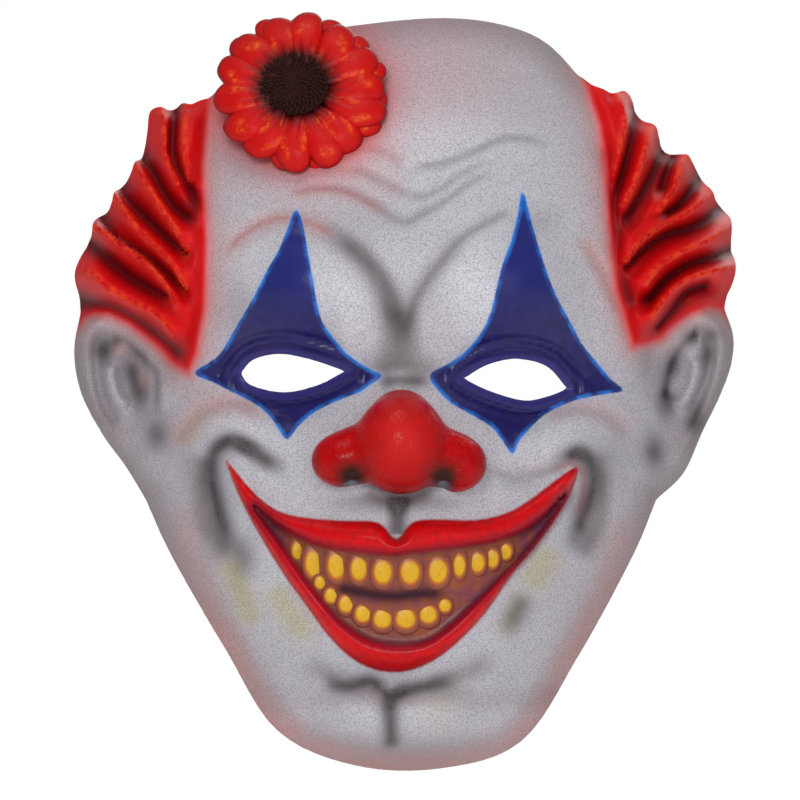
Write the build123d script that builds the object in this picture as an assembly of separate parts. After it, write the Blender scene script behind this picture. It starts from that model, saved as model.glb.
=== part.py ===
from build123d import *
import math
import os

# A latex half mask of a grinning clown, worn on the front of the head and held by an elastic strap.
# Millimetres. X runs to the wearer's left, Y from the face back into the head, Z up.
# The origin is midway between the two eye openings, where the nose bridge of the wearer sits.
# Left and right are as seen from the front, so the right side has positive X.

# ---- the mask as a whole ----
mask_width = 198.0  # across the ears
mask_height = 224.0  # chin edge to the top of the dome
side_depth = 100.0  # how far the ears stand behind the middle of the face
skin_wall = 2.0  # thickness of the cast latex
nose_reach = 25.0  # how far the bulb of the nose stands out of the face
brow_swell = 6.0
socket_sink = 7.0
lip_rise = 3.2
ear_flare = 15.0  # how far the ears and the hair are turned out to the front
lock_rise = 3.0  # height of each lock of hair over the valley beside it

# ---- openings in the skin ----
eye_length = 30.7
eye_height = 11.6
eye_spacing = 66.5
nostril_bore = 3.2
nostril_spacing = 27.0

# ---- flower ----
flower_radius = 22.5  # to the middle of the petals' round ends
flower_rise = 8.0  # petal crowns over the skin under the flower's middle
flower_wall = 14.0  # petal crowns to the underside, before it is cut to the skin
flower_lean = 24.0  # degrees that it faces up
flower_turn = 10.0  # degrees that it faces to its side
flower_eye_radius = 11.0
petal_count = 15
petal_crown = 3.5  # rounding of the petals' outer ends
flower_eye_sink = 2.0  # middle of the flower under the petals around it

# ---- strap tabs glued inside the skin ----
tab_height = 24.0
tab_wall = 1.6
tab_flange = 14.0  # how far the glued flange runs toward the face
tab_inset = 25.0  # from the outer edge of the ear to the tab's plate
tab_reach = 10.0  # plate beyond the rivet

# ---- rivets ----
rivet_behind_ear = 6.0  # rivet axis behind the rearmost skin at the ear
rivet_height = 5.0  # above the origin
rivet_shank_radius = 2.0
rivet_head_radius = 4.5
rivet_head_wall = 1.0
washer_radius = 5.5
washer_wall = 0.5
rivet_fit = 0.06  # radial, shank in the strap
turning_gap = 0.3  # between the strap and what it turns against

# ---- elastic strap ----
strap_width = 15.0
strap_wall = 1.2
strap_drop = 95.0  # rivet to the bottom of the hanging strap
strap_upper_bend = 40.0  # radius where each side turns in below its rivet
strap_lower_bend = 14.0  # radius where it turns along the bottom
strap_straight = 13.0  # rivet to the upper bend's corner
strap_inward = 31.5  # how far each side comes in between its upper and lower bends
strap_end = 8.0  # strap beyond the rivet
layer_gap = 0.25  # between strap and buckle, and between two layers of strap

# ---- buckle and keeper ----
buckle_bar = 2.4  # width of each bar along the strap
buckle_slot = 6.6  # opening between bars, along the strap
buckle_wall = 2.0
buckle_rim = 2.2  # width of the two side rails
buckle_place = -8.0  # middle of the buckle from the middle of the mask
sewn_back = 8.0  # left half laid back over itself past the buckle
tail_length = 38.0  # free end of the strap from the buckle's middle, laid back under itself
keeper_length = 6.0
keeper_wall = 1.2
keeper_gap = 0.3
keeper_place = 24.0  # middle of the keeper from the middle of the buckle

# ---- stitching ----
stitch_rows = 3
stitch_wall = 1.0
stitch_pitch = 2.2
stitch_margin = 1.5  # from the sewn end to the first row

# ---- how the strap's middle line threads the buckle, from the edges of the middle bar ----
thread_start = 0.2  # short of the slot's far side, where it starts up over the bar
thread_over = 0.4  # past the bar's edges, where it runs level over the bar
thread_turn = 3.2  # out to the farthest point of its turn behind the bar
thread_drop = 1.2  # from the bar's middle down to that point
thread_back = 1.0  # past the bar's edge, where it runs back under itself
thread_bend = 1.2  # radius of its bends at the slot's far side and under the bar
turn_bend = 1.0  # radius of its other bends

# ---- the drawn shape, which the overall sizes scale ----
DRAWN_WIDTH = 198.0
DRAWN_HEIGHT = 224.0
GRID_STEP = 3.0
FIELD_WIDTH = 104.0
FIELD_TOP = 112.0
FIELD_BOTTOM = -122.0

wide = mask_width / DRAWN_WIDTH
tall = mask_height / DRAWN_HEIGHT

# (height, how far back the middle of the face lies)
MIDDLE_LINE = [
    (-122, 8), (-117, -2), (-110, -17), (-101, -25), (-92, -21), (-80, -25), (-60, -28), (-40, -27),
    (-20, -23), (0, -21), (15, -25), (30, -28), (45, -26), (60, -21), (75, -12), (90, 2), (100, 14),
    (112, 33),
]

# (height, half width of the head, share of the side depth that its sides go back)
HEAD_WIDTH = [(-122, 58), (-93, 62), (-70, 72), (-37, 90), (0, 101), (30, 102), (65, 93), (83, 86), (112, 74)]
HEAD_DEPTH = [(-122, 0.42), (-93, 0.56), (-70, 0.7), (-37, 0.88), (0, 1.0), (40, 1.0), (83, 0.84), (112, 0.7)]

# (distance from the middle of the mouth, height) of the lips' outer and inner edges
UPPER_LIP_TOP = [(0, -47), (3, -44), (16, -43), (28, -42.4), (38, -38.5), (45, -33.5), (52, -26)]
UPPER_LIP_FOOT = [(0, -53.2), (8, -52.8), (21.5, -50.4), (35.5, -46.3), (44.5, -40.5), (52, -30)]
LOWER_LIP_TOP = [(0, -79.5), (6, -79), (17, -73.6), (26, -65.9), (34, -54.2), (42, -45), (52, -31)]
LOWER_LIP_FOOT = [(0, -88.2), (8, -86.5), (16, -81.5), (23.5, -74.5), (30.5, -64), (39, -52.6), (52, -32)]
LIP_SPREAD = 2.5  # each lip runs this far into the skin above and below its edges
MOUTH_CORNER = 52.0
MOUTH_MIDDLE = -0.7

# Rounded forms of the face: middle across, middle height, half width, half height, forward
SWELLS = [
    ("left brow", -33, 24, 27, 25, brow_swell),
    ("right brow", 31, 25, 27, 25, brow_swell),
    ("left eye socket", -33, -1, 24, 17, -socket_sink),
    ("right eye socket", 32, -3, 24, 17, -socket_sink),
    ("frown furrow", -1, 8, 8, 24, -4.5),
    ("left cheek", -51, -21, 20, 16, 7.0),
    ("right cheek", 50, -22, 20, 16, 7.0),
    ("left grin groove", -57, -37, 9, 20, -4.0),
    ("right grin groove", 56, -37, 9, 20, -4.0),
    ("muzzle", -1, -56, 50, 42, 4.0),
    ("left chin", -13, -101, 17, 14, 3.0),
    ("right chin", 9, -101, 17, 14, 3.0),
    ("left nose wing", -19, -28, 10, 10, 12.0),
    ("right nose wing", 17, -28, 10, 10, 12.0),
]
NOSE_MIDDLE = (-0.5, -20.0)
NOSE_HALF = (17.0, 17.5)
NOSTRILS_MIDDLE = (-1.5, -32.0)

# Ear: middle across, middle height, half width, half height
EAR_BOWL = (83.0, 0.0, 11.0, 22.0)
EAR_SINK = 7.0

# Hair: where the locks of one side run together, and how many there are
LOCK_ROOT = (55.0, 0.0)
LOCK_COUNT = 6
HAIR_INNER_EDGE = 57.0
HAIR_FOOT = 18.0

FLOWER_MIDDLE = (-30.5, 84.0)

# Outline seen from the front, as drawn
DOME_EDGE = [(-58, 83), (-46, 93.5), (-28, 102), (-8, 105.5), (13, 107), (30, 105), (43, 99.5), (54, 88)]
RIGHT_LOCK_TIPS = [
    (54, 88), (63, 86.5), (69, 79.5), (75, 76), (78, 68), (85, 66.5), (89, 60),
    (93.5, 56), (95.5, 50), (98.8, 44), (98.2, 37.5), (99.6, 30), (96.3, 20),
]
RIGHT_EAR_EDGE = [(96.3, 20), (99, 12), (98.3, 3), (94.5, -7), (89.5, -17), (84, -29), (75.7, -37)]
JAW_EDGE = [
    (75.7, -37), (68.5, -54), (52.4, -83.4), (35, -109), (11, -117), (-14.6, -116), (-37.5, -105.5),
    (-53.3, -81), (-69, -54), (-76.9, -37),
]
LEFT_EAR_EDGE = [(-76.9, -37), (-83, -27), (-90, -17.5), (-96.6, -4.8), (-98.6, 7.5), (-96.6, 19)]
LEFT_LOCK_TIPS = [
    (-96.6, 19), (-98.4, 28), (-95, 38), (-94, 43), (-90, 48.5), (-87, 53.5), (-83.5, 57.5),
    (-81.5, 62.5), (-77.5, 67), (-77, 74), (-73, 79.5), (-66.5, 81.5), (-58, 83),
]


def smooth_through(points, place):
    """The value at place of a smooth line through (place, value) points in rising order."""
    last = len(points) - 1
    i = 0
    while i < last - 1 and place > points[i + 1][0]:
        i += 1
    x0, y0 = points[i]
    x1, y1 = points[i + 1]
    before = points[max(i - 1, 0)]
    after = points[min(i + 2, last)]
    slope0 = (y1 - before[1]) / (x1 - before[0])
    slope1 = (after[1] - y0) / (after[0] - x0)
    run = x1 - x0
    t = min(max((place - x0) / run, 0.0), 1.0)
    rise = y1 - y0
    start = y0 * (1 - t) + y1 * t
    bend = t * (1 - t) * ((slope0 * run - rise) * (1 - t) - (slope1 * run - rise) * t)
    return start + bend


def ramp(value, low, high):
    """0 below low, 1 above high, and a smooth step between."""
    t = min(max((value - low) / (high - low), 0.0), 1.0)
    return t * t * (3 - 2 * t)


def head_side(share):
    """How far back the side of the head has gone, from 0 in the middle to 1 at its half width."""
    roundness = 0.93
    full = 1 - math.sqrt(1 - roundness**2)
    reach = min(abs(share), 1.06) * roundness
    return (1 - math.sqrt(1 - reach**2)) / full


def swell(x, z, middle_x, middle_z, half_x, half_z):
    """A smooth round form: 1 in its middle and 0 from its edge on."""
    away = ((x - middle_x) / half_x) ** 2 + ((z - middle_z) / half_z) ** 2
    return (1 - away) ** 2 if away < 1 else 0.0


def nose_bulb(x, z):
    away = math.hypot((x - NOSE_MIDDLE[0]) / NOSE_HALF[0], (z - NOSE_MIDDLE[1]) / NOSE_HALF[1])
    return nose_reach * (1 - away**2.6) ** 0.9 if away < 1 else 0.0


def lips(x, z):
    """Both lips stand out of the muzzle, and the teeth between them stay level with it."""
    across = min(abs(x - MOUTH_MIDDLE), MOUTH_CORNER)
    upper = smooth_through(UPPER_LIP_TOP, across), smooth_through(UPPER_LIP_FOOT, across)
    lower = smooth_through(LOWER_LIP_TOP, across), smooth_through(LOWER_LIP_FOOT, across)
    rise = 0.0
    for top, foot in (upper, lower):
        share = (z - foot + LIP_SPREAD) / (top - foot + 2 * LIP_SPREAD)
        if 0 < share < 1:
            rise += math.sin(math.pi * share) ** 2
    return lip_rise * rise * (1 - ramp(abs(x - MOUTH_MIDDLE), MOUTH_CORNER - 8, MOUTH_CORNER))


def hair_locks(x, z):
    """Locks that fan out from their root above the ear, as waves round that root."""
    side = abs(x)
    inside = ramp(side, HAIR_INNER_EDGE, HAIR_INNER_EDGE + 8) * ramp(z, HAIR_FOOT - 12, HAIR_FOOT + 12)
    turn = math.atan2(z - LOCK_ROOT[1], side - LOCK_ROOT[0])
    wave = 0.5 + 0.5 * math.cos(2 * math.pi * LOCK_COUNT * turn / (math.pi / 2))
    return inside * (2.0 + lock_rise * wave)


def relief(x, z):
    """How far the features stand forward of the plain head at this place."""
    forward = nose_bulb(x, z) + lips(x, z) + hair_locks(x, z)
    for _name, middle_x, middle_z, half_x, half_z, rise in SWELLS:
        forward += rise * swell(x, z, middle_x, middle_z, half_x, half_z)
    forward -= EAR_SINK * swell(abs(x), z, *EAR_BOWL)
    side = ramp(abs(x), 74, 100) * ramp(z, -44, -14)
    return forward + ear_flare * side


def face_depth(x, z):
    """Y of the outer surface of the skin, with x and z as on the real mask."""
    x = x / wide
    z = z / tall
    back = side_depth * smooth_through(HEAD_DEPTH, z) * head_side(x / smooth_through(HEAD_WIDTH, z))
    return smooth_through(MIDDLE_LINE, z) + back - relief(x, z)


def inner_depth(x, z, wall):
    """Y of a surface that lies one wall behind the outer one, measured square to it."""
    reach = 1.5
    slope_x = (face_depth(x + reach, z) - face_depth(x - reach, z)) / (2 * reach)
    slope_z = (face_depth(x, z + reach) - face_depth(x, z - reach)) / (2 * reach)
    return face_depth(x, z) + wall * math.sqrt(1 + slope_x**2 + slope_z**2)


def room_behind(wall):
    """The solid block behind the surface that lies one wall behind the outside of the skin."""
    columns = math.ceil(2 * FIELD_WIDTH / GRID_STEP)
    rows = math.ceil((FIELD_TOP - FIELD_BOTTOM) / GRID_STEP)
    grid = []
    for i in range(columns + 1):
        x = (-FIELD_WIDTH + 2 * FIELD_WIDTH * i / columns) * wide
        heights = [(FIELD_BOTTOM + (FIELD_TOP - FIELD_BOTTOM) * j / rows) * tall for j in range(rows + 1)]
        grid.append([(x, inner_depth(x, z, wall), z) for z in heights])
    surface = Face.make_surface_from_array_of_points(grid, tol=0.05, min_deg=3, max_deg=5)
    return Solid.extrude(surface, Vector(0, 3 * side_depth, 0))


def scaled(points):
    return [(x * wide, z * tall) for x, z in points]


def lock_tip_arcs(points):
    """Every second point is a valley between two locks, and the one after it the tip of a lock."""
    tips = scaled(points)
    return [ThreePointArc(tips[i], tips[i + 1], tips[i + 2]) for i in range(0, len(tips) - 2, 2)]


def outline_prism():
    edges = [Spline(*scaled(DOME_EDGE))]
    edges += lock_tip_arcs(RIGHT_LOCK_TIPS)
    edges += [Spline(*scaled(RIGHT_EAR_EDGE)), Spline(*scaled(JAW_EDGE)), Spline(*scaled(LEFT_EAR_EDGE))]
    edges += lock_tip_arcs(LEFT_LOCK_TIPS)
    outline = Plane.XZ * make_face(edges)
    return extrude(outline, amount=2 * side_depth, both=True)


def eye_opening(side):
    """An almond, cut straight through the skin."""
    middle = side * eye_spacing / 2
    inner = (middle - side * eye_length / 2, 0)
    outer = (middle + side * eye_length / 2, 0)
    lids = [
        ThreePointArc(inner, (middle, eye_height / 2), outer),
        ThreePointArc(outer, (middle, -eye_height / 2), inner),
    ]
    almond = Plane.XZ * make_face(lids)
    return extrude(almond, amount=side_depth, both=True)


def nostril(side):
    middle_x, middle_z = NOSTRILS_MIDDLE
    place = Location((side * nostril_spacing / 2 + middle_x * wide, 0, middle_z * tall), (90, 0, 0))
    return place * Cylinder(nostril_bore / 2, 2 * side_depth)


def plate_box(x_from, x_to, y_from, y_to, z_from, z_to):
    size = (abs(x_to - x_from), abs(y_to - y_from), abs(z_to - z_from))
    middle = ((x_from + x_to) / 2, (y_from + y_to) / 2, (z_from + z_to) / 2)
    return Pos(*middle) * Box(*size)


def cylinder_across(radius, x_from, x_to, y, z):
    return Pos((x_from + x_to) / 2, y, z) * Rot(0, 90, 0) * Cylinder(radius, abs(x_to - x_from))


outer_room = room_behind(0.0)
inner_room = room_behind(skin_wall)
flange_room = room_behind(skin_wall + tab_wall)

plate_outside = mask_width / 2 - tab_inset  # outer face of each tab's plate
plate_inside = plate_outside - tab_wall
ear_back = face_depth(mask_width / 2 - 1, 8 * tall)
rivet_y = ear_back + rivet_behind_ear
strap_outside = plate_inside - turning_gap
strap_inside = strap_outside - strap_wall
washer_outside = strap_inside - turning_gap
washer_inside = washer_outside - washer_wall


def mask_skin():
    skin = outline_prism() & outer_room
    skin -= inner_room
    for side in (-1, 1):
        skin -= eye_opening(side)
        skin -= nostril(side)
    return skin


def strap_tab(side):
    """A flange that follows the inside of the skin, and a flat plate that runs back to the rivet."""
    low = rivet_height - tab_height / 2
    high = rivet_height + tab_height / 2
    inner_edge = plate_inside - tab_flange
    block = plate_box(side * inner_edge, side * plate_outside, -side_depth, rivet_y, low, high)
    flange = (block & inner_room) - flange_room
    back = rivet_y + tab_reach
    plate = plate_box(side * plate_inside, side * plate_outside, -side_depth, back, low, high) & inner_room
    rear_edges = plate.edges().filter_by(Axis.X).group_by(Axis.Y)[-1]
    plate = fillet(rear_edges, tab_reach * 0.8)
    shank = cylinder_across(rivet_shank_radius, 0, side * mask_width, rivet_y, rivet_height)
    return flange + plate - shank


def rivet(side):
    head = cylinder_across(
        rivet_head_radius, side * plate_outside, side * (plate_outside + rivet_head_wall), rivet_y, rivet_height
    )
    shank = cylinder_across(
        rivet_shank_radius, side * (washer_inside - rivet_head_wall / 2), side * plate_outside, rivet_y, rivet_height
    )
    clinch = cylinder_across(
        rivet_head_radius * 0.8,
        side * (washer_inside - rivet_head_wall),
        side * washer_inside,
        rivet_y,
        rivet_height,
    )
    head = fillet(head.edges().group_by(Axis.X)[-1 if side > 0 else 0], rivet_head_wall * 0.6)
    clinch = fillet(clinch.edges().group_by(Axis.X)[0 if side > 0 else -1], rivet_head_wall * 0.6)
    return head + shank + clinch


def washer(side):
    disc = cylinder_across(washer_radius, side * washer_inside, side * washer_outside, rivet_y, rivet_height)
    return disc - cylinder_across(rivet_shank_radius, 0, side * mask_width, rivet_y, rivet_height)


def flower():
    """A ring of puffed petals round a sunken heart, seated on the forehead above the right brow."""
    x, z = FLOWER_MIDDLE
    seat = face_depth(x * wide, z * tall)
    plane = Plane(origin=(x * wide, seat, z * tall), x_dir=(1, 0, 0), z_dir=(0, -1, 0))
    plane = plane.rotated((-flower_lean, -flower_turn, 0))
    petal_radius = math.pi * flower_radius / petal_count * 0.72
    with BuildSketch() as scalloped:
        Circle(flower_radius)
        with PolarLocations(flower_radius, petal_count):
            Circle(petal_radius)
        fillet(scalloped.vertices(), petal_radius * 0.25)
    petals = Pos(0, 0, flower_rise - flower_wall) * extrude(scalloped.sketch, amount=flower_wall)
    petals = fillet(petals.edges().group_by(Axis.Z)[-1], petal_crown)
    heart = Pos(0, 0, flower_rise) * Cylinder(flower_eye_radius, 2 * flower_eye_sink)
    return plane.location * (petals - heart) - outer_room


def strap_bottom():
    return rivet_height - strap_drop


def band(points, radii):
    """A strap's run in the plane square to Y, with its thickness to both sides of the line."""
    line = FilletPolyline(*points, radius=radii)
    with BuildSketch(Plane.XZ) as profile:
        with BuildLine():
            offset(line, amount=strap_wall / 2, side=Side.BOTH)
        make_face()
    return Pos(0, rivet_y, 0) * extrude(profile.sketch, amount=strap_width / 2, both=True)


half_wall = strap_wall / 2
strap_line = strap_inside + half_wall
level = strap_bottom()
over_bar = buckle_wall / 2 + layer_gap + half_wall
bar_pitch = buckle_bar + buckle_slot
strap_top = rivet_height + strap_end
upper_corner = rivet_height - strap_straight
sewn_end = buckle_place - bar_pitch - buckle_bar / 2 - sewn_back


def strap_bore(side):
    return cylinder_across(rivet_shank_radius + rivet_fit, 0, side * mask_width, rivet_y, rivet_height)


def strap_side(side, height):
    """The run from one rivet down to the bottom of the strap, at the given height."""
    lower_corner = strap_line - strap_inward
    return [(side * strap_line, strap_top), (side * strap_line, upper_corner), (side * lower_corner, height)]


def strap_left_half():
    """From the left rivet down to the buckle, where its end goes round the left bar and is sewn back."""
    bar = buckle_place - bar_pitch
    turn_in = bar + buckle_bar / 2 + layer_gap + half_wall
    down = level - over_bar
    up = level + over_bar
    points = strap_side(-1, up) + [(turn_in, up), (turn_in, down), (sewn_end, down)]
    turn_radius = half_wall + 2 * layer_gap
    run = band(points, [strap_upper_bend, strap_lower_bend, turn_radius, turn_radius])
    return run - strap_bore(-1)


def strap_right_half():
    """From the right rivet through the buckle, over its middle bar, and back under itself as the tail."""
    low = level - over_bar
    high = level + over_bar
    tail = low - strap_wall - layer_gap
    bar = buckle_bar / 2
    points = strap_side(1, low) + [
        (buckle_place + bar + buckle_slot - thread_start, low),
        (buckle_place + bar + thread_over, high),
        (buckle_place - bar - thread_over, high),
        (buckle_place - bar - thread_turn, level - thread_drop),
        (buckle_place - bar - thread_back, tail),
        (buckle_place + tail_length, tail),
    ]
    bends = [strap_upper_bend, strap_lower_bend, thread_bend, turn_bend, turn_bend, thread_bend, turn_bend]
    run = band(points, bends)
    return run - strap_bore(1)


def buckle():
    """A flat three-bar slide."""
    length = 2 * bar_pitch + buckle_bar
    width = strap_width + 2 * layer_gap + 2 * buckle_rim
    with BuildSketch() as frame:
        RectangleRounded(length, width, buckle_rim)
        with Locations((-bar_pitch / 2, 0), (bar_pitch / 2, 0)):
            RectangleRounded(buckle_slot, strap_width + 2 * layer_gap, 0.8, mode=Mode.SUBTRACT)
    slide = extrude(frame.sketch, amount=buckle_wall / 2, both=True)
    return Pos(buckle_place, rivet_y, level) * slide


def keeper():
    """A loop round the strap and its tail, free to slide along both."""
    top = level - over_bar + half_wall + keeper_gap
    bottom = level - over_bar - strap_wall - layer_gap - half_wall - keeper_gap
    inside = strap_width / 2 + keeper_gap
    place = Pos(buckle_place + keeper_place, rivet_y, (top + bottom) / 2)
    hole = Box(2 * keeper_length, 2 * inside, top - bottom)
    outside = Box(keeper_length, 2 * (inside + keeper_wall), top - bottom + 2 * keeper_wall)
    outside = fillet(outside.edges().filter_by(Axis.X), keeper_wall * 0.8)
    return place * (outside - hole)


def strap_stitches():
    """A bar tack of thread that holds the left half's end to itself, between its two layers."""
    first = sewn_end + stitch_margin
    height = 2 * over_bar - strap_wall
    tack = Box(stitch_wall, strap_width - 4 * stitch_wall, height)
    return [Pos(first + stitch_pitch * i, rivet_y, level) * tack for i in range(stitch_rows)]


os.makedirs("parts", exist_ok=True)
NODES = {
    "mask_skin": mask_skin(),
    "flower": flower(),
    "left_strap_tab": strap_tab(-1),
    "right_strap_tab": strap_tab(1),
    "left_rivet": rivet(-1),
    "right_rivet": rivet(1),
    "left_washer": washer(-1),
    "right_washer": washer(1),
    "strap_left_half": strap_left_half(),
    "strap_right_half": strap_right_half(),
    "strap_buckle": buckle(),
    "strap_keeper": keeper(),
    "strap_stitches": Compound(children=strap_stitches()),
}
for name, shape in NODES.items():
    export_step(shape, f"parts/{name}.step")
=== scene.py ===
import math

import bpy
import numpy as np
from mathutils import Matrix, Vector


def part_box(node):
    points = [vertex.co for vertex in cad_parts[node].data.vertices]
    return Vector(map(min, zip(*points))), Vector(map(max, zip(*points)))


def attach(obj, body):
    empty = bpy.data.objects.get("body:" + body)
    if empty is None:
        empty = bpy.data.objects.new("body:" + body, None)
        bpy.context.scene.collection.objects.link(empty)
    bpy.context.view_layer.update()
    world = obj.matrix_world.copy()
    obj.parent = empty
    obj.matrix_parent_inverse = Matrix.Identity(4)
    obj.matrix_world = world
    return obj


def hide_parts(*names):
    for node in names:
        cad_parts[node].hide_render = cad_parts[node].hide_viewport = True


# A latex half mask of a grinning clown: painted skin, red hair, glossy nose, a flower and an elastic strap.
# Shapes are worked out in millimetres, with X across, Y back into the head and Z up, and made in metres.

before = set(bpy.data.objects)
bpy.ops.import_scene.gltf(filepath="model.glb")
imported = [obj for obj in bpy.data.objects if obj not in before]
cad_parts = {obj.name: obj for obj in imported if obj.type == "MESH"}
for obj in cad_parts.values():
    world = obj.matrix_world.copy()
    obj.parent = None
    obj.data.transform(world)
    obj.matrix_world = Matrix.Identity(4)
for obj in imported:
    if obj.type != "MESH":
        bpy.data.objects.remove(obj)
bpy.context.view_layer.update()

MM = 0.001
SKIN_LOW, SKIN_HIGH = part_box("mask_skin")
DRAWN_WIDTH = 198.2
SIZE = (SKIN_HIGH[0] - SKIN_LOW[0]) / (DRAWN_WIDTH * MM)  # 1 as drawn, and follows the CAD skin's width

# ------------------------------------------------------------------ the plain head under the features

SIDE_DEPTH = 100.0
SKIN_WALL = 2.0
EAR_FLARE = 15.0
MIDDLE_LINE = [
    (-122, 8), (-117, -2), (-110, -17), (-101, -25), (-92, -21), (-80, -25), (-60, -28), (-40, -27),
    (-20, -23), (0, -21), (15, -25), (30, -28), (45, -26), (60, -21), (75, -12), (90, 2), (100, 14),
    (112, 33),
]
HEAD_WIDTH = [(-122, 58), (-93, 62), (-70, 72), (-37, 90), (0, 101), (30, 102), (65, 93), (83, 86), (112, 74)]
HEAD_DEPTH = [(-122, 0.42), (-93, 0.56), (-70, 0.7), (-37, 0.88), (0, 1.0), (40, 1.0), (83, 0.84), (112, 0.7)]


def through(points, place):
    """Values at place of a smooth line through (place, value) points in rising order."""
    xs, ys = np.array(points, float).T
    slopes = np.gradient(ys, xs)
    slopes[1:-1] = (ys[2:] - ys[:-2]) / (xs[2:] - xs[:-2])
    i = np.clip(np.searchsorted(xs, place, "right") - 1, 0, len(xs) - 2)
    run = xs[i + 1] - xs[i]
    t = np.clip((place - xs[i]) / run, 0, 1)
    rise = ys[i + 1] - ys[i]
    bend = t * (1 - t) * ((slopes[i] * run - rise) * (1 - t) - (slopes[i + 1] * run - rise) * t)
    return ys[i] + rise * t + bend


def ramp(value, low, high):
    """0 below low, 1 above high, and a smooth step between."""
    t = np.clip((value - low) / (high - low), 0, 1)
    return t * t * (3 - 2 * t)


def swell(x, z, middle_x, middle_z, half_x, half_z):
    """A smooth round form: 1 in its middle and 0 from its edge on."""
    away = ((x - middle_x) / half_x) ** 2 + ((z - middle_z) / half_z) ** 2
    return np.clip(1 - away, 0, 1) ** 2


def head_side(share):
    """How far back the side of the head is, from 0 in the middle to 1 at its full width."""
    roundness = 0.93
    full = 1 - math.sqrt(1 - roundness**2)
    reach = np.minimum(np.abs(share), 1.06) * roundness
    return (1 - np.sqrt(1 - reach**2)) / full


def plain_head(x, z):
    """The head before any feature: how far back it is at each place, with the ears flared forward."""
    back = SIDE_DEPTH * through(HEAD_DEPTH, z) * head_side(x / through(HEAD_WIDTH, z))
    flare = EAR_FLARE * ramp(np.abs(x), 74, 100) * ramp(z, -44, -14)
    return through(MIDDLE_LINE, z) + back - flare


# ------------------------------------------------------------------ lines drawn on the face

def curve_through(points, closed=False, steps=6):
    """A smooth line through given points, as closely spaced points."""
    p = np.array(points, float)
    ahead = np.roll(p, -1, 0) if closed else np.vstack([p[1:], 2 * p[-1] - p[-2]])
    behind = np.roll(p, 1, 0) if closed else np.vstack([2 * p[0] - p[1], p[:-1]])
    slope = (ahead - behind) / 2
    spans = len(p) if closed else len(p) - 1
    t = np.linspace(0, 1, steps, endpoint=False)[:, None]
    out = []
    for i in range(spans):
        a, b, sa, sb = p[i], p[(i + 1) % len(p)], slope[i], slope[(i + 1) % len(p)]
        out.append(
            (2 * t**3 - 3 * t**2 + 1) * a + (t**3 - 2 * t**2 + t) * sa
            + (3 * t**2 - 2 * t**3) * b + (t**3 - t**2) * sb
        )
    if not closed:
        out.append(p[-1:])
    return np.vstack(out)


def line_distance(x, z, path, reach=1e9):
    """Distance to a line of points, and how far along it the nearest point is, from 0 to 1."""
    best = np.full(x.shape, 99.0)
    along = np.zeros(x.shape)
    near = (x > path[:, 0].min() - reach) & (x < path[:, 0].max() + reach)
    near &= (z > path[:, 1].min() - reach) & (z < path[:, 1].max() + reach)
    px, pz = x[near], z[near]
    nearest = np.full(px.shape, np.inf)
    share = np.zeros(px.shape)
    for i in range(len(path) - 1):
        (ax, az), (bx, bz) = path[i], path[i + 1]
        dx, dz = bx - ax, bz - az
        t = np.clip(((px - ax) * dx + (pz - az) * dz) / max(dx * dx + dz * dz, 1e-9), 0, 1)
        d = np.hypot(px - ax - t * dx, pz - az - t * dz)
        closer = d < nearest
        nearest = np.where(closer, d, nearest)
        share = np.where(closer, (i + t) / (len(path) - 1), share)
    best[near] = nearest
    along[near] = share
    return best, along


def region_distance(x, z, path):
    """Signed distance to a closed outline, negative inside."""
    loop = np.vstack([path, path[:1]])
    distance, _ = line_distance(x, z, loop)
    inside = np.zeros(x.shape, bool)
    for (ax, az), (bx, bz) in zip(loop[:-1], loop[1:]):
        if az != bz:
            crosses = (az > z) != (bz > z)
            inside ^= crosses & (x < ax + (z - az) * (bx - ax) / (bz - az))
    return np.where(inside, -distance, distance)


def stroke(x, z, points, width, taper=0.15):
    """A soft brush stroke along a line: 1 on it, fading over width, with tapered ends."""
    distance, along = line_distance(x, z, curve_through(points), 3.2 * width)
    ends = ramp(along, 0, taper) * ramp(1 - along, 0, taper) if taper else 1.0
    return np.exp(-((distance / width) ** 2)) * ends


# ------------------------------------------------------------------ outlines seen from the front

DOME_EDGE = [(-58, 83), (-46, 93.5), (-28, 102), (-8, 105.5), (13, 107), (30, 105), (43, 99.5), (54, 88)]
RIGHT_LOCK_EDGE = [
    (54, 88.9), (56.5, 87), (59.7, 85.8), (62.3, 84.5), (64.2, 84.8), (66.2, 85.3), (67.8, 84.1), (68.8, 81.9),
    (69.7, 78.6), (71.7, 76.4), (74.6, 75.4), (75.9, 74.4), (76.6, 71.5), (77.5, 68), (79.7, 66.4), (83, 66.4),
    (85.3, 66.2), (86.5, 64.4), (88.2, 61.2), (90.1, 58), (92.7, 55.4), (94, 52.2), (96.6, 49.2), (98.2, 47.3),
    (98.6, 44.4), (98.4, 39.9), (98.5, 37.3), (99.6, 34.4), (99.6, 30.8), (98.4, 26.9), (96.9, 23.7), (96.2, 20),
]
RIGHT_EAR_EDGE = [(96.3, 20), (99, 12), (98.3, 3), (94.5, -7), (89.5, -17), (84, -29), (75.7, -37)]
JAW_EDGE = [
    (75.7, -37), (68.5, -54), (52.4, -83.4), (35, -109), (11, -117), (-14.6, -116), (-37.5, -105.5),
    (-53.3, -81), (-69, -54), (-76.9, -37),
]
LEFT_EAR_EDGE = [(-76.9, -37), (-83, -27), (-90, -17.5), (-96.6, -4.8), (-98.6, 7.5), (-96.6, 19)]
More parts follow.
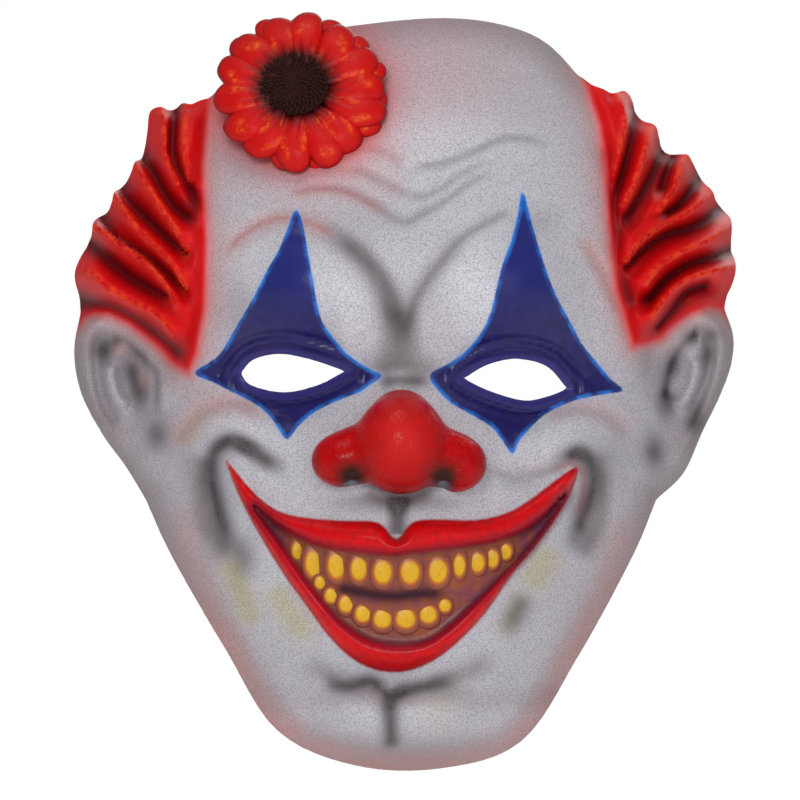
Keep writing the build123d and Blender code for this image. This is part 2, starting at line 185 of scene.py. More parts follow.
LEFT_LOCK_EDGE = [
    (-96.6, 19), (-97, 23.7), (-98.2, 28.2), (-98.2, 31.5), (-96.7, 35.3), (-94.5, 39.2), (-93.2, 42.5),
    (-92.8, 45.7), (-91.5, 47.3), (-88.6, 48.9), (-87.3, 51.5), (-86.4, 55), (-84.8, 56), (-82.8, 58),
    (-81.2, 61.2), (-80.2, 64.1), (-78.3, 65.1), (-77.3, 68.3), (-76.5, 73.5), (-76.2, 77.4), (-75.4, 79.6),
    (-72.5, 80.6), (-70.4, 79.6), (-68.3, 79.8), (-66, 81.6), (-63.4, 81.2), (-60.5, 82.4), (-58, 83),
]

# Each eye hole: its upper lid from one corner to the other, and its lower lid back
LEFT_UPPER_LID = [(-48.4, 0.8), (-44.4, 4.9), (-36.4, 6.5), (-27, 4.7), (-17.2, 1.4)]
LEFT_LOWER_LID = [(-17.2, 1.4), (-25.5, -2.8), (-35.4, -4.9), (-45.2, -2.8), (-48.4, 0.8)]
RIGHT_UPPER_LID = [(18, -0.8), (25.2, 3.3), (33.8, 5), (42.8, 2.8), (48.9, -3.8)]
RIGHT_LOWER_LID = [(48.9, -3.8), (43.5, -6.0), (35.8, -7.3), (25.5, -4.4), (18, -0.8)]
LEFT_DIAMOND = [
    (-31.9, 49.3), (-34, 44.6), (-36.7, 37.7), (-40.4, 31.3), (-44.1, 23.8), (-48.9, 15.8), (-52.2, 10),
    (-55.8, 5.2), (-62.2, 0.9), (-56.9, -1.7), (-51.6, -4.4), (-45.2, -7.6), (-40.9, -10.7), (-37.7, -14.5),
    (-34.6, -19), (-31.3, -15), (-27.1, -11.3), (-21.2, -8.1), (-13.2, -4.9), (-10, -2.8), (-6.3, -0.1),
    (-8.5, 1.2), (-12.7, 3.6), (-17, 6.8), (-20.7, 11.1), (-23.9, 15.8), (-25.5, 21.2), (-26.8, 28.6),
    (-28.4, 37.1), (-29.8, 45.1),
]
RIGHT_DIAMOND = [
    (35.6, 55), (34.1, 47.4), (32.2, 40.1), (29.5, 32.8), (27.7, 25.4), (25.9, 18.2), (22.8, 12.1), (18.6, 7.2),
    (13.7, 3.6), (9.1, 1.4), (8, -0.4), (9.4, -3.1), (14.3, -8), (21.6, -12.2), (26.5, -15.3), (29.5, -19),
    (32.5, -23.2), (34.4, -19.5), (38, -15.3), (42.9, -11), (50.8, -7.4), (58.7, -5.6), (65.7, -4.4),
    (62.3, -1.3), (57.5, 4.2), (53.2, 9.6), (49.6, 16.4), (45.9, 23), (42.9, 30.3), (40.5, 37.6), (38, 46.2),
]
LIPS = [
    (-52.7, -24.8), (-46.8, -32.1), (-41.5, -37.4), (-35.5, -40.8), (-27.8, -42.3), (-17.9, -43.1), (-7.3, -43.6),
    (-2, -48.6), (3, -43.4), (11.6, -42.7), (21.6, -42.9), (30.7, -40.8), (37.5, -37), (43.7, -32.4), (51.8, -27),
    (50.5, -33.6), (45.9, -41.9), (39.8, -50.3), (32.2, -59.4), (25.4, -69.3), (18.6, -76.9), (11, -83.4),
    (3.4, -87.2), (-2.7, -88.1), (-8.8, -87.2), (-15.6, -83.7), (-22.5, -76.9), (-28.6, -68.5), (-34.7, -60.2),
    (-40, -51.8), (-45.3, -42.7), (-49.1, -35.1), (-51.8, -28.3),
]
GUMS = [
    (-44.4, -38.7), (-37.7, -44.2), (-30.1, -48.8), (-22.5, -51.4), (-13.4, -52.6), (-4.2, -53.5), (4.9, -52.6),
    (15.5, -51.4), (26.9, -49.5), (35.3, -46.5), (42.9, -41.1), (48.4, -34.9), (45.9, -39.6), (38.3, -50.3),
    (30, -58.7), (21.6, -67), (13.2, -74.6), (6.4, -78.8), (-2, -79.8), (-10.3, -78), (-17.9, -73.1),
    (-24, -66.3), (-29.3, -59.4), (-34.7, -51.8), (-40, -45),
]
LEFT_HAIR = [
    (-57.6, 85), (-59.2, 62), (-58.1, 40), (-58.7, 20), (-60.2, 12.8), (-61.2, 6.3), (-63.8, 0.4), (-68.6, 2.9),
    (-72.6, 7.3), (-77.5, 11.3), (-82.5, 15.2), (-88.4, 18), (-92.3, 18.2), (-95.3, 17.2), (-97.5, 14.2),
    (-110, 12), (-110, 95), (-62, 97),
]
RIGHT_HAIR = [
    (53, 92), (58.4, 74.5), (59.9, 62.6), (60.8, 46.5), (63.2, 25.6), (68.5, 8.5), (73.5, 9.4), (77.5, 10.8),
    (80.9, 14.3), (86.3, 18.2), (91.3, 20.2), (95.2, 19.7), (98, 17), (110, 16), (110, 97), (54, 98),
]
NOSTRILS = [(-15.2, -32.9, 2.0, 1.5), (11.9, -33.1, 1.7, 1.7)]

# Valleys between the locks of hair, from the outer edge in to the root
LEFT_VALLEYS = [
    [(-67.5, 81), (-68.6, 73.4), (-68.8, 67.1), (-66.8, 60.8), (-63.4, 56.3), (-61.2, 51.7)],
    [(-79, 66.5), (-74.8, 60.8), (-72, 55.7), (-68.6, 50.6), (-64.6, 47.3)],
    [(-85, 57.5), (-82.2, 52.3), (-78.3, 48.3), (-73.7, 44.3), (-69.1, 40.3), (-64, 36)],
    [(-90.5, 47.5), (-86.2, 42), (-81.1, 38.6), (-76, 35.2), (-70.3, 30.6), (-65.1, 25.5)],
    [(-95, 41), (-89.1, 35.7), (-84.5, 31.7), (-80.5, 28.9), (-74.8, 26), (-70.3, 23.8)],
    [(-97, 22.6), (-88, 20.6), (-80.6, 17.2), (-73.7, 12.6), (-68, 7.4)],
]
RIGHT_VALLEYS = [
    [(60.2, 66), (62.5, 51.3), (63, 39.8), (63.6, 31.3), (66.4, 22.7)],
    [(69.3, 79.5), (68.1, 71.2), (65.9, 62.7), (63.6, 54.1), (63, 48)],
    [(78, 68), (74.4, 60.4), (70.4, 53.5), (66.4, 47.3)],
    [(81, 66), (78.8, 60.5), (77.6, 56)],
    [(89.5, 60), (83.6, 51.8), (78.8, 48.6)],
    [(95.8, 50.6), (89.8, 46.1), (84.7, 43.8), (78.4, 42.2), (72.1, 38.1), (66.4, 32.4)],
    [(98.8, 37.4), (92.7, 35.3), (87, 33.6), (82.4, 31.3), (77.8, 27.9), (73.3, 22.7)],
    [(90, 27), (84.7, 25), (80.1, 19.3), (76.1, 14.8)],
]

# Crests of the locks, each between two valleys
CRESTS = [
    [(-95, 31.5), (-92.7, 30.7), (-87.8, 26.2), (-80.2, 21.6), (-73.3, 17.9), (-68.8, 13.2)],
    [(-92.5, 44.5), (-89.3, 42.9), (-82.4, 38.3), (-76.4, 33.7), (-71, 27.7), (-67.3, 20.9)],
    [(-87, 55), (-85.5, 52.7), (-79.4, 44.4), (-72.6, 37.5), (-68, 32.2), (-65, 26.1)],
    [(-81, 64), (-79.4, 61.9), (-75.6, 55.8), (-70.3, 47.4), (-66.5, 41.4), (-64.2, 36)],
    [(-73, 79.5), (-71.6, 77), (-71.4, 71), (-70.6, 64.5), (-67, 57.5)],
    [(-64.5, 82), (-65, 78.7), (-65.4, 69.5), (-63.6, 58.8)],
    [(63, 86), (65.4, 81.5), (66.4, 76), (64.6, 67), (62, 59)],
    [(75, 76), (73.8, 72), (71.6, 64.6), (69, 57.2), (65.6, 50.6)],
    [(85, 66.5), (82.6, 61.4), (80.6, 55.4), (76.6, 49.6)],
    [(92.5, 56.5), (90.3, 53.2), (84.4, 48.6), (78, 45.4), (71, 40), (66.8, 34.6)],
    [(98, 45.5), (91.4, 40.6), (83.6, 37.2), (76.4, 32.6), (72.6, 27.6)],
    [(99, 33), (91, 31), (84.3, 28.6), (78.4, 23.6), (74.3, 17.4)],
]

FOREHEAD_LINES = [
    [(-23.8, 68.2), (-11.3, 68.5), (-4.5, 66), (1.5, 62.6), (11, 63), (21.5, 66.8), (32, 71), (46, 68.5)],
    [(-20.9, 61), (-14, 61), (-6.8, 58), (1, 54.3), (6, 53.3), (12, 56), (20, 61.4), (30, 65)],
    [
        (-34.6, 53.6), (-28.3, 55.3), (-21.5, 55.6), (-16, 54.2), (-9.8, 51.3), (-4, 47.5), (0.5, 45.6),
        (5, 47.5), (10, 50.2), (15, 53.5), (19.5, 57), (25, 59.6), (31, 60),
    ],
]
LEFT_BROW_FOLD = [
    (-53.9, 34), (-48.9, 40.8), (-42.6, 45), (-36.7, 46.8), (-29, 45.7), (-24.2, 43.6), (-18.6, 40.8),
    (-13.2, 37.1), (-7.9, 31.8), (-3.7, 25.4), (-1.4, 19), (-1.2, 12), (-2.4, 6),
]
RIGHT_BROW_FOLD = [
    (33.7, 48.9), (30.7, 48.3), (26.5, 46.2), (22.2, 43.8), (17.3, 40.5), (13.1, 35.8), (8.8, 30.4),
    (5.1, 24.9), (2.7, 20), (1.2, 13.7), (1.5, 7),
]
RIGHT_TEMPLE_FOLD = [(51.4, 42.5), (55.7, 37.6), (59.3, 31.6), (62.3, 25.4), (65.4, 18.2), (67.8, 10.8), (69, 3.6)]
LEFT_CHEEK_FOLD = [(-69.4, -22.6), (-64.4, -14.6), (-57.5, -8.9), (-48.6, -7.5), (-39.9, -12.2)]
RIGHT_CHEEK_FOLD = [(43, -12.4), (48, -9.6), (54.2, -8.9), (62.6, -12.2), (69.1, -19)]
LEFT_GRIN_FOLD = [
    (-32.4, -27.1), (-37.7, -26.7), (-42.3, -24.4), (-46, -21.4), (-50.7, -19.1), (-54.4, -20.3),
    (-56.7, -23.7), (-57.1, -29.8), (-56.3, -35.1), (-54.4, -42.7), (-52.2, -48), (-46.8, -53.3),
]
RIGHT_GRIN_FOLD = [
    (24.6, -26.7), (30.7, -29.8), (37.5, -30.5), (44.4, -28.3), (48.2, -24.8), (52, -23.2), (55.1, -25.2),
    (56.9, -30.5), (55.8, -36.6), (53.5, -42.7), (52, -46.5), (47.4, -54.1),
]
CHIN_CLEFT = [(-3.2, -92), (-4, -98), (-3.6, -105), (-3.4, -112)]
CHIN_LEFT_FOLD = [(-25.3, -90.4), (-17.3, -92.2), (-9.5, -90.8), (-4.4, -94.6)]
CHIN_RIGHT_FOLD = [(18.5, -89.7), (8, -91.8), (0.6, -93.4), (-3, -95)]
PHILTRUM = [(-1.4, -35.5), (-1.6, -41), (-1.8, -47.2)]
BITE_LINE = [(-21.5, -62.8), (-16, -63.6), (-9, -64.8), (-2.7, -65.5), (6.4, -64.6), (14.8, -65.2)]

# Teeth: middle across, middle height, width, height
UPPER_TEETH = [
    (-31.3, -51.9, 2.8, 6.6), (-26.5, -55.7, 5.3, 10.7), (-19.7, -56.3, 5.6, 10.1), (-13.1, -57.2, 4.9, 8.9),
    (-6, -58.2, 5.8, 9.2), (2.1, -58.2, 6.2, 9.2), (10.4, -57.9, 6, 9.6), (16.7, -56.3, 3, 8.3),
    (22.1, -55.4, 4, 7.2), (26.5, -54.3, 3.2, 6.6), (30.4, -52.2, 3.2, 5.4),
]
LOWER_TEETH = [
    (-24.6, -61.5, 2.6, 4.4), (-21.3, -65.4, 3.6, 5.2), (-16.9, -67.9, 4, 6), (-11.9, -70.8, 4.6, 6),
    (-6.1, -72.3, 5.5, 6.8), (0.8, -72.2, 6.4, 7.4), (7.5, -71, 5.2, 6.4), (12.4, -68.3, 3, 4.2),
]

LEFT_EAR_RIM = [(-86, 15.5), (-92.5, 15.2), (-95.6, 9.5), (-95, 0), (-92, -9.5), (-87, -17), (-81, -25.5)]
LEFT_EAR_GROOVE = [(-84, 11.6), (-90.3, 10.4), (-91.1, 4), (-90.3, -4), (-88, -10.9), (-84.5, -15)]
LEFT_EAR_FRONT = [(-87.9, 11), (-83.4, 10.3), (-80, 7.3), (-76, 3.9), (-73.6, 0.4), (-73.3, -5), (-73.6, -11.9)]
LEFT_EAR_FOLD = [(-88, 4.5), (-87.4, -1), (-85.4, -6), (-81.5, -10)]
RIGHT_EAR_RIM = [(84, 15.5), (91, 17), (95.4, 12.5), (95.8, 5), (93.3, -4), (89.4, -12), (84.5, -22), (80.5, -30)]
RIGHT_EAR_GROOVE = [(82.5, 10.5), (88.5, 12.6), (91.7, 9), (91.4, 3.5), (89.5, -4), (87.5, -11), (84.5, -18)]
RIGHT_EAR_FRONT = [(88.5, 12.2), (86.3, 11.3), (82.4, 6.9), (79.9, 2.4), (78.9, -2), (78, -7.9)]
RIGHT_EAR_FOLD = [(88, 6.5), (87.3, 0), (84.8, -6), (81.5, -10)]

# ------------------------------------------------------------------ meshes

def add_mesh(name, points, faces, materials, picks=None, smooth=True):
    """A mesh object from points in millimetres."""
    mesh = bpy.data.meshes.new(name)
    mesh.from_pydata(np.asarray(points) * MM * SIZE, [], faces)
    for material in materials:
        mesh.materials.append(material)
    if picks is not None:
        mesh.polygons.foreach_set("material_index", np.asarray(picks, np.int32))
    mesh.polygons.foreach_set("use_smooth", [smooth] * len(mesh.polygons))
    mesh.update()
    thing = bpy.data.objects.new(name, mesh)
    bpy.context.collection.objects.link(thing)
    return thing


def write_field(thing, name, values):
    """One number or one colour for each point of a mesh, for its material to read."""
    values = np.asarray(values, float)
    if values.ndim == 1:
        field = thing.data.attributes.new(name, "FLOAT", "POINT")
        field.data.foreach_set("value", values.astype(np.float32))
    else:
        field = thing.data.attributes.new(name, "FLOAT_COLOR", "POINT")
        rgba = np.ones((len(values), 4), np.float32)
        rgba[:, :3] = values
        field.data.foreach_set("color", rgba.ravel())


def clipped_grid(xs, zs, outside):
    """Points and faces of a flat grid, kept where outside(x, z) is negative and cut along its edge."""
    gx, gz = np.meshgrid(xs, zs, indexing="ij")
    far = outside(gx, gz)
    far[np.abs(far) < 0.08] = -0.001
    inside = far < 0
    count = int(inside.sum())
    index = np.full(gx.shape, -1)
    index[inside] = np.arange(count)
    points = [np.column_stack([gx[inside], gz[inside]])]
    cuts = {}
    for across, (di, dj) in enumerate(((1, 0), (0, 1))):
        a = inside[: gx.shape[0] - di, : gx.shape[1] - dj]
        b = inside[di:, dj:]
        for i, j in zip(*np.nonzero(a != b)):
            share = far[i, j] / (far[i, j] - far[i + di, j + dj])
            x = gx[i, j] + share * (gx[i + di, j + dj] - gx[i, j])
            z = gz[i, j] + share * (gz[i + di, j + dj] - gz[i, j])
            cuts[(i, j, across)] = count
            points.append([[x, z]])
            count += 1
    faces = []
    whole = inside[:-1, :-1] & inside[1:, :-1] & inside[1:, 1:] & inside[:-1, 1:]
    some = inside[:-1, :-1] | inside[1:, :-1] | inside[1:, 1:] | inside[:-1, 1:]
    for i, j in zip(*np.nonzero(some)):
        corners = [(i, j), (i + 1, j), (i + 1, j + 1), (i, j + 1)]
        if whole[i, j]:
            faces.append([index[c] for c in corners])
            continue
        sides = [(i, j, 0), (i + 1, j, 1), (i, j + 1, 0), (i, j, 1)]
        ring = []
        for corner, side in zip(corners, sides):
            if inside[corner]:
                ring.append(index[corner])
            if side in cuts:
                ring.append(cuts[side])
        if len(ring) > 2:
            faces.append(ring)
    return np.vstack(points), faces


def shell(outer, inner, faces):
    """Outer and inner sheets with the same faces, joined by a rim along every open edge."""
    used = {}
    for face in faces:
        for a, b in zip(face, face[1:] + face[:1]):
            used[(a, b)] = True
    n = len(outer)
    rim = [[b, a, a + n, b + n] for a, b in used if (b, a) not in used]
    back = [[i + n for i in reversed(face)] for face in faces]
    return np.vstack([outer, inner]), faces + back + rim, len(faces), len(back), len(rim)


# ------------------------------------------------------------------ shader building

class Shade:
    """Puts together one material from plain steps."""

    def __init__(self, name):
        self.material = bpy.data.materials.new(name)
        self.material.use_nodes = True
        self.nodes = self.material.node_tree.nodes
        self.links = self.material.node_tree.links
        self.surface = self.nodes["Principled BSDF"]

    def put(self, socket, value):
        """Another step's result, a colour or a number."""
        if isinstance(value, bpy.types.NodeSocket):
            self.links.new(value, socket)
        elif isinstance(value, (tuple, list)) and len(value) == 3 and socket.type == "RGBA":
            socket.default_value = (*value, 1.0)
        else:
            socket.default_value = value

    def place(self):
        """Object coordinates in millimetres."""
        coords = self.nodes.new("ShaderNodeTexCoord").outputs["Object"]
        scaled = self.nodes.new("ShaderNodeVectorMath")
        scaled.operation = "MULTIPLY"
        self.links.new(coords, scaled.inputs[0])
        scaled.inputs[1].default_value = (1 / MM, 1 / MM, 1 / MM)
        return scaled.outputs[0]

    def noise(self, size, detail=2.0, roughness=0.5, seed=0.0):
        """A noise whose lumps are about size millimetres across, from 0 to 1."""
        node = self.nodes.new("ShaderNodeTexNoise")
        node.noise_dimensions = "4D"
        self.links.new(self.place(), node.inputs["Vector"])
        node.inputs["Scale"].default_value = 1 / size
        node.inputs["Detail"].default_value = detail
        node.inputs["Roughness"].default_value = roughness
        node.inputs["W"].default_value = seed
        return node.outputs["Fac"]

    def cells(self, size):
        """Distance to the edges of cells about size millimetres across."""
        node = self.nodes.new("ShaderNodeTexVoronoi")
        node.feature = "DISTANCE_TO_EDGE"
        self.links.new(self.place(), node.inputs["Vector"])
        node.inputs["Scale"].default_value = 1 / size
        return node.outputs["Distance"]

    def field(self, name):
        """A number written on the mesh."""
        node = self.nodes.new("ShaderNodeAttribute")
        node.attribute_name = name
        return node.outputs["Fac"]

    def colours(self, name):
        """A colour written on the mesh."""
        node = self.nodes.new("ShaderNodeAttribute")
        node.attribute_name = name
        return node.outputs["Color"]

    def sum(self, kind, a, b=0.0):
        """One sum of two values."""
        node = self.nodes.new("ShaderNodeMath")
        node.operation = kind
        self.put(node.inputs[0], a)
        self.put(node.inputs[1], b)
        return node.outputs[0]

    def step(self, value, low, high, start=0.0, end=1.0):
        """A smooth change from start to end as the value goes from low to high."""
        node = self.nodes.new("ShaderNodeMapRange")
        node.interpolation_type = "SMOOTHSTEP"
        self.put(node.inputs["Value"], value)
        for key, number in zip(("From Min", "From Max", "To Min", "To Max"), (low, high, start, end)):
            node.inputs[key].default_value = number
        return node.outputs[0]

    def mix(self, amount, a, b):
        """Colour a, and colour b where the amount is 1."""
        node = self.nodes.new("ShaderNodeMix")
        node.data_type = "RGBA"
        self.put(node.inputs["Factor"], amount)
        self.put(node.inputs[6], a)
        self.put(node.inputs[7], b)
        return node.outputs[2]

    def bump(self, height, depth):
        """Depth is in millimetres."""
        node = self.nodes.new("ShaderNodeBump")
        node.inputs["Strength"].default_value = 1.0
        node.inputs["Distance"].default_value = depth * MM
        self.links.new(height, node.inputs["Height"])
        return node.outputs["Normal"]

    def finish(self, **inputs):
        """The material, with these values on its surface."""
        for key, value in inputs.items():
            self.put(self.surface.inputs[key.replace("_", " ")], value)
        return self.material


def paint(red, green, blue):
    """A paint colour, given as it is mixed on a screen, from 0 to 255."""
    return tuple(((c / 255 + 0.055) / 1.055) ** 2.4 if c > 10 else c / 255 / 12.92 for c in (red, green, blue))


def lay(under, colour, amount):
    """Paint laid over what is under it, for every point of a mesh."""
    amount = np.clip(np.asarray(amount), 0, 1)[:, None]
    return under * (1 - amount) + np.array(colour) * amount


def dab(x, z, middle_x, middle_z, half_x, half_z):
    """One soft touch of the airbrush."""
    return np.exp(-(((x - middle_x) / half_x) ** 2) - ((z - middle_z) / half_z) ** 2)


# ------------------------------------------------------------------ the skin's outline

EDGE_RUNS = (DOME_EDGE, RIGHT_LOCK_EDGE, RIGHT_EAR_EDGE, JAW_EDGE, LEFT_EAR_EDGE, LEFT_LOCK_EDGE)
OUTLINE = np.vstack([curve_through(run)[:-1] for run in EDGE_RUNS])
EYES = [
    np.vstack([curve_through(LEFT_UPPER_LID)[:-1], curve_through(LEFT_LOWER_LID)[:-1]]),
    np.vstack([curve_through(RIGHT_UPPER_LID)[:-1], curve_through(RIGHT_LOWER_LID)[:-1]]),
]


def outside_skin(x, z):
    """Distance from the skin, negative on it: within the outline and clear of both eye holes."""
    far = region_distance(x, z, OUTLINE)
    for eye in EYES:
        far = np.maximum(far, -region_distance(x, z, eye))
    return far


class Places:
    """All that the relief and the paint need to know of each point: distances to edges and strokes along folds."""

    def __init__(self, x, z):
        self.x, self.z = x, z
        self.edge = -region_distance(x, z, OUTLINE)
        self.eye = np.minimum(*[region_distance(x, z, eye) for eye in EYES])
        self.diamond = np.minimum(
            region_distance(x, z, curve_through(LEFT_DIAMOND, closed=True, steps=3)),
            region_distance(x, z, curve_through(RIGHT_DIAMOND, closed=True, steps=3)),
        )
        self.lip = region_distance(x, z, curve_through(LIPS, closed=True, steps=3))
        self.gum = region_distance(x, z, curve_through(GUMS, closed=True, steps=3))
        self.hair = np.minimum(
            region_distance(x, z, np.array(LEFT_HAIR, float)), region_distance(x, z, np.array(RIGHT_HAIR, float))
        )
        self.valley = self.nearest(LEFT_VALLEYS + RIGHT_VALLEYS)
        self.crest = self.nearest(CRESTS)
        self.flower = np.hypot(x + 30.5, (z - 84.5) * 1.1) - 23

    def to(self, points):
        """Distance to one line."""
        return line_distance(self.x, self.z, curve_through(points), 14)[0]

    def fold(self, points, depth, width, lip=0.45, taper=0.22):
        """A fold in the skin: a groove with a low roll on each side, fading out at its ends."""
        distance, along = line_distance(self.x, self.z, curve_through(points), 14)
        ends = ramp(along, 0, taper) * ramp(1 - along, 0, taper)
        groove = np.exp(-((distance / width) ** 2))
        roll = np.exp(-(((distance - 2.1 * width) / width) ** 2))
        return depth * ends * (lip * roll - groove)

    def nearest(self, lines):
        """Distance to the nearest of several lines."""
        return np.minimum.reduce([line_distance(self.x, self.z, curve_through(line), 14)[0] for line in lines])

    def brush(self, points, width, taper=0.15):
        """A soft stroke along one line."""
        return stroke(self.x, self.z, points, width, taper)


# Rounded forms: middle across, middle height, half width, half height, forward
SWELLS = [
    (-33, 24, 27, 25, 6.5), (31, 25, 27, 25, 6.5), (-33, -1, 24, 17, -7), (32, -3, 24, 17, -7),
    (-33, 0.8, 20, 10, 3.5), (33, -1, 20, 10, 3.5),
    (-1, 8, 8, 24, -4.5), (-51, -21, 21, 16, 7.5), (50, -22, 21, 16, 7.5), (-57, -37, 9, 20, -4),
    (56, -37, 9, 20, -4), (-1, -56, 50, 42, 4), (-13, -101, 17, 14, 4), (9, -101, 17, 14, 4),
    (-19, -27, 11, 10, 5), (17, -28, 11, 10, 5), (-80, -24, 10, 11, 3), (80, -26, 10, 11, 3),
]


def lip_roll(p):
    """Both lips as one roll that runs round the mouth, highest midway between its two edges."""
    inside = np.maximum(-p.lip, 0)
    share = inside / np.maximum(inside + np.maximum(p.gum, 0), 1e-3)
    return np.sin(np.pi * np.clip(share, 0, 1)) ** 0.75 * (p.lip < 0) * (p.gum > 0)


def lock_share(p):
    """0 in the valleys between locks and 1 along their crests."""
    share = p.valley / (p.valley + p.crest + 0.2)
    return ramp(share, 0.0, 1.0) * 0.6 + 0.4 * share


def hair_height(p):
    """Locks that rise from the valleys to a soft crest and roll over at their tips."""
    within = ramp(-p.hair, -1.5, 5)
    curl = np.exp(-((np.maximum(p.edge, 0) / 2.6) ** 2))
    return within * (0.4 + 9.0 * lock_share(p) - 2.8 * curl)


def ear_height(p):
    """The rim and the fold of each ear, the grooves beside them and the bowl."""
    rise = 3.2 * (p.brush(LEFT_EAR_RIM, 2.6) + p.brush(RIGHT_EAR_RIM, 2.6))
    rise += 2.4 * (p.brush(LEFT_EAR_FOLD, 2.2) + p.brush(RIGHT_EAR_FOLD, 2.2))
    rise -= 2.2 * (p.brush(LEFT_EAR_GROOVE, 2.2) + p.brush(RIGHT_EAR_GROOVE, 2.2))
    rise -= 3.4 * (p.brush(LEFT_EAR_FRONT, 2.6, 0.1) + p.brush(RIGHT_EAR_FRONT, 2.6, 0.1))
    return rise - 5.0 * (swell(p.x, p.z, -81, -3, 8, 15) + swell(p.x, p.z, 82, -4, 8, 15))


def broad_relief(p):
    """What the back of the skin follows too."""
    forward = sum(rise * swell(p.x, p.z, mx, mz, hx, hz) for mx, mz, hx, hz, rise in SWELLS)
    return forward + 0.5 * hair_height(p) + 2.0 * lip_roll(p) + 0.6 * ear_height(p)


def fine_relief(p):
    """What shows on the face only."""
    rise = 0.5 * hair_height(p) + 1.2 * lip_roll(p) + 0.4 * ear_height(p)
    rise -= 1.2 * ramp(-p.gum, 0, 2.5)
    for line, depth in zip(FOREHEAD_LINES, (0.8, 0.9, 1.0)):
        rise += p.fold(line, depth, 1.4) * ramp(p.flower, 0, 6)
    rise += p.fold(LEFT_BROW_FOLD, 1.2, 2.0, 0.35) + p.fold(RIGHT_BROW_FOLD, 1.2, 2.0, 0.35)
    rise += p.fold(RIGHT_TEMPLE_FOLD, 0.6, 1.6)
    rise += p.fold(LEFT_CHEEK_FOLD, 0.8, 1.8) + p.fold(RIGHT_CHEEK_FOLD, 0.8, 1.8)
    rise -= 2.4 * (p.brush(LEFT_GRIN_FOLD, 2.8) + p.brush(RIGHT_GRIN_FOLD, 2.8))
    below = ramp(-p.z, -1, 3)
    lid = 1.3 * np.exp(-(((p.eye - 3.9) / 1.0) ** 2)) - 1.2 * np.exp(-(((p.eye - 5.9) / 0.9) ** 2))
    bags = 1.2 * np.exp(-(((p.eye - 2.0) / 0.9) ** 2)) - 0.9 * np.exp(-(((p.eye - 3.6) / 0.7) ** 2))
    bags += 0.9 * np.exp(-(((p.eye - 5.0) / 0.9) ** 2))
    rise += (lid * (1 - below) + bags * below) * ramp(-p.diamond, 0, 1.5)
    rise -= 1.6 * p.brush(PHILTRUM, 2.2, 0) - 0.5 * np.exp(-(((p.to(PHILTRUM) - 4) / 1.6) ** 2))
    rise -= 2.0 * p.brush(CHIN_CLEFT, 2.4) + 1.6 * (p.brush(CHIN_LEFT_FOLD, 2) + p.brush(CHIN_RIGHT_FOLD, 2))
    return rise


def steepness(x, z):
    """How much farther the skin runs than it looks from the front."""
    h = 1.0
    across = (plain_head(x + h, z) - plain_head(x - h, z)) / (2 * h)
    up = (plain_head(x, z + h) - plain_head(x, z - h)) / (2 * h)
    return np.sqrt(1 + across**2 + up**2)


def skin_depths(p):
    """How far back the painted face and the raw back of the skin are."""
    slant = steepness(p.x, p.z)
    back = plain_head(p.x, p.z) - broad_relief(p) * np.minimum(slant, 1.5)
    face = back - fine_relief(p) * np.minimum(slant, 1.5)
    wall = SKIN_WALL * np.minimum(slant, 1.9)
    # The strap tabs are glued behind the front of each ear, so the skin stays before them
    limit = plain_head(p.x, p.z) + 7.0 * swell(np.abs(p.x), p.z, 83, 0, 11, 22)
    tabs = ramp(np.abs(p.x), 54, 58) * ramp(-np.abs(p.x), -80, -76) * ramp(-np.abs(p.z - 5), -18, -14)
    face = np.where(tabs > 0, np.minimum(face, limit - 0.2 * tabs + 8 * (1 - tabs)), face)
    back = np.where(tabs > 0, np.minimum(back, limit + 8 * (1 - tabs)), back)
    return face, np.maximum(back + wall, face + 0.7 * wall)


# ------------------------------------------------------------------ paints

SKIN_GREY = paint(190, 187, 193)
# Brown of the airbrush in the creases, which also stands as painted shade there.
SHADE_AND_AIRBRUSH_BROWN = paint(58, 46, 36)
BLACK_BROWN = paint(33, 23, 16)
ROSE = paint(196, 140, 134)
OLIVE = paint(184, 174, 116)
HAIR_RED = paint(205, 8, 12)
HAIR_ORANGE = paint(236, 74, 34)
HAIR_DARK = paint(72, 2, 10)
LIP_RED = paint(206, 8, 14)
NAVY = paint(24, 19, 80)
AZURE = paint(30, 118, 214)
GUM = paint(114, 58, 80)
GUM_DARK = paint(58, 20, 40)


# Airbrush work. A dab: middle across and up, half width, half height, amount. A stroke: line, width, amount, taper
# Painted highlights: lighter dabs on the brow bulges, the cheeks, the temple, the forehead and the chin.
SKIN_HIGHLIGHT_DABS = [
    (-18, 20, 9, 12, 0.8), (22, 22, 10, 14, 0.8), (-40, -52, 10, 26, 0.5), (-50, -14, 12, 5, 0.6),
    (50, -16, 12, 5, 0.5), (0, -104, 20, 8, 0.4), (-46, 30, 8, 12, 0.5), (2, 70, 40, 8, 0.4),
]
ROSE_STROKES = [
    (FOREHEAD_LINES[0][:4], 3.0, 0.35), (FOREHEAD_LINES[1][:4], 3.0, 0.35), (FOREHEAD_LINES[2][:6], 3.0, 0.35),
    (LEFT_BROW_FOLD[:7], 3.2, 0.5), (LEFT_CHEEK_FOLD, 4.0, 0.55), (RIGHT_TEMPLE_FOLD, 2.4, 0.6),
    (RIGHT_CHEEK_FOLD, 3.2, 0.3), ([(-66, -36), (-60, -62), (-47, -92)], 5.0, 0.35),
    ([(67, -40), (60, -64), (45, -94)], 5.0, 0.35), ([(-60, -70), (-44, -98), (-30, -110)], 5.0, 0.3),
]
OLIVE_STROKES = [
    ([(-53, -50), (-50, -60), (-46, -70), (-43, -76)], 3.4, 0.7), ([(46, -50), (41, -57), (36, -66)], 4.5, 0.62),
    ([(-40, -60), (-34, -70), (-25, -81)], 4.4, 0.6), ([(36, -63), (33, -69), (29, -80)], 3.0, 0.4),
    ([(-66, -12), (-60, -20)], 4.0, 0.25), ([(24, -90), (10, -98), (16, -106)], 5.0, 0.2),
]
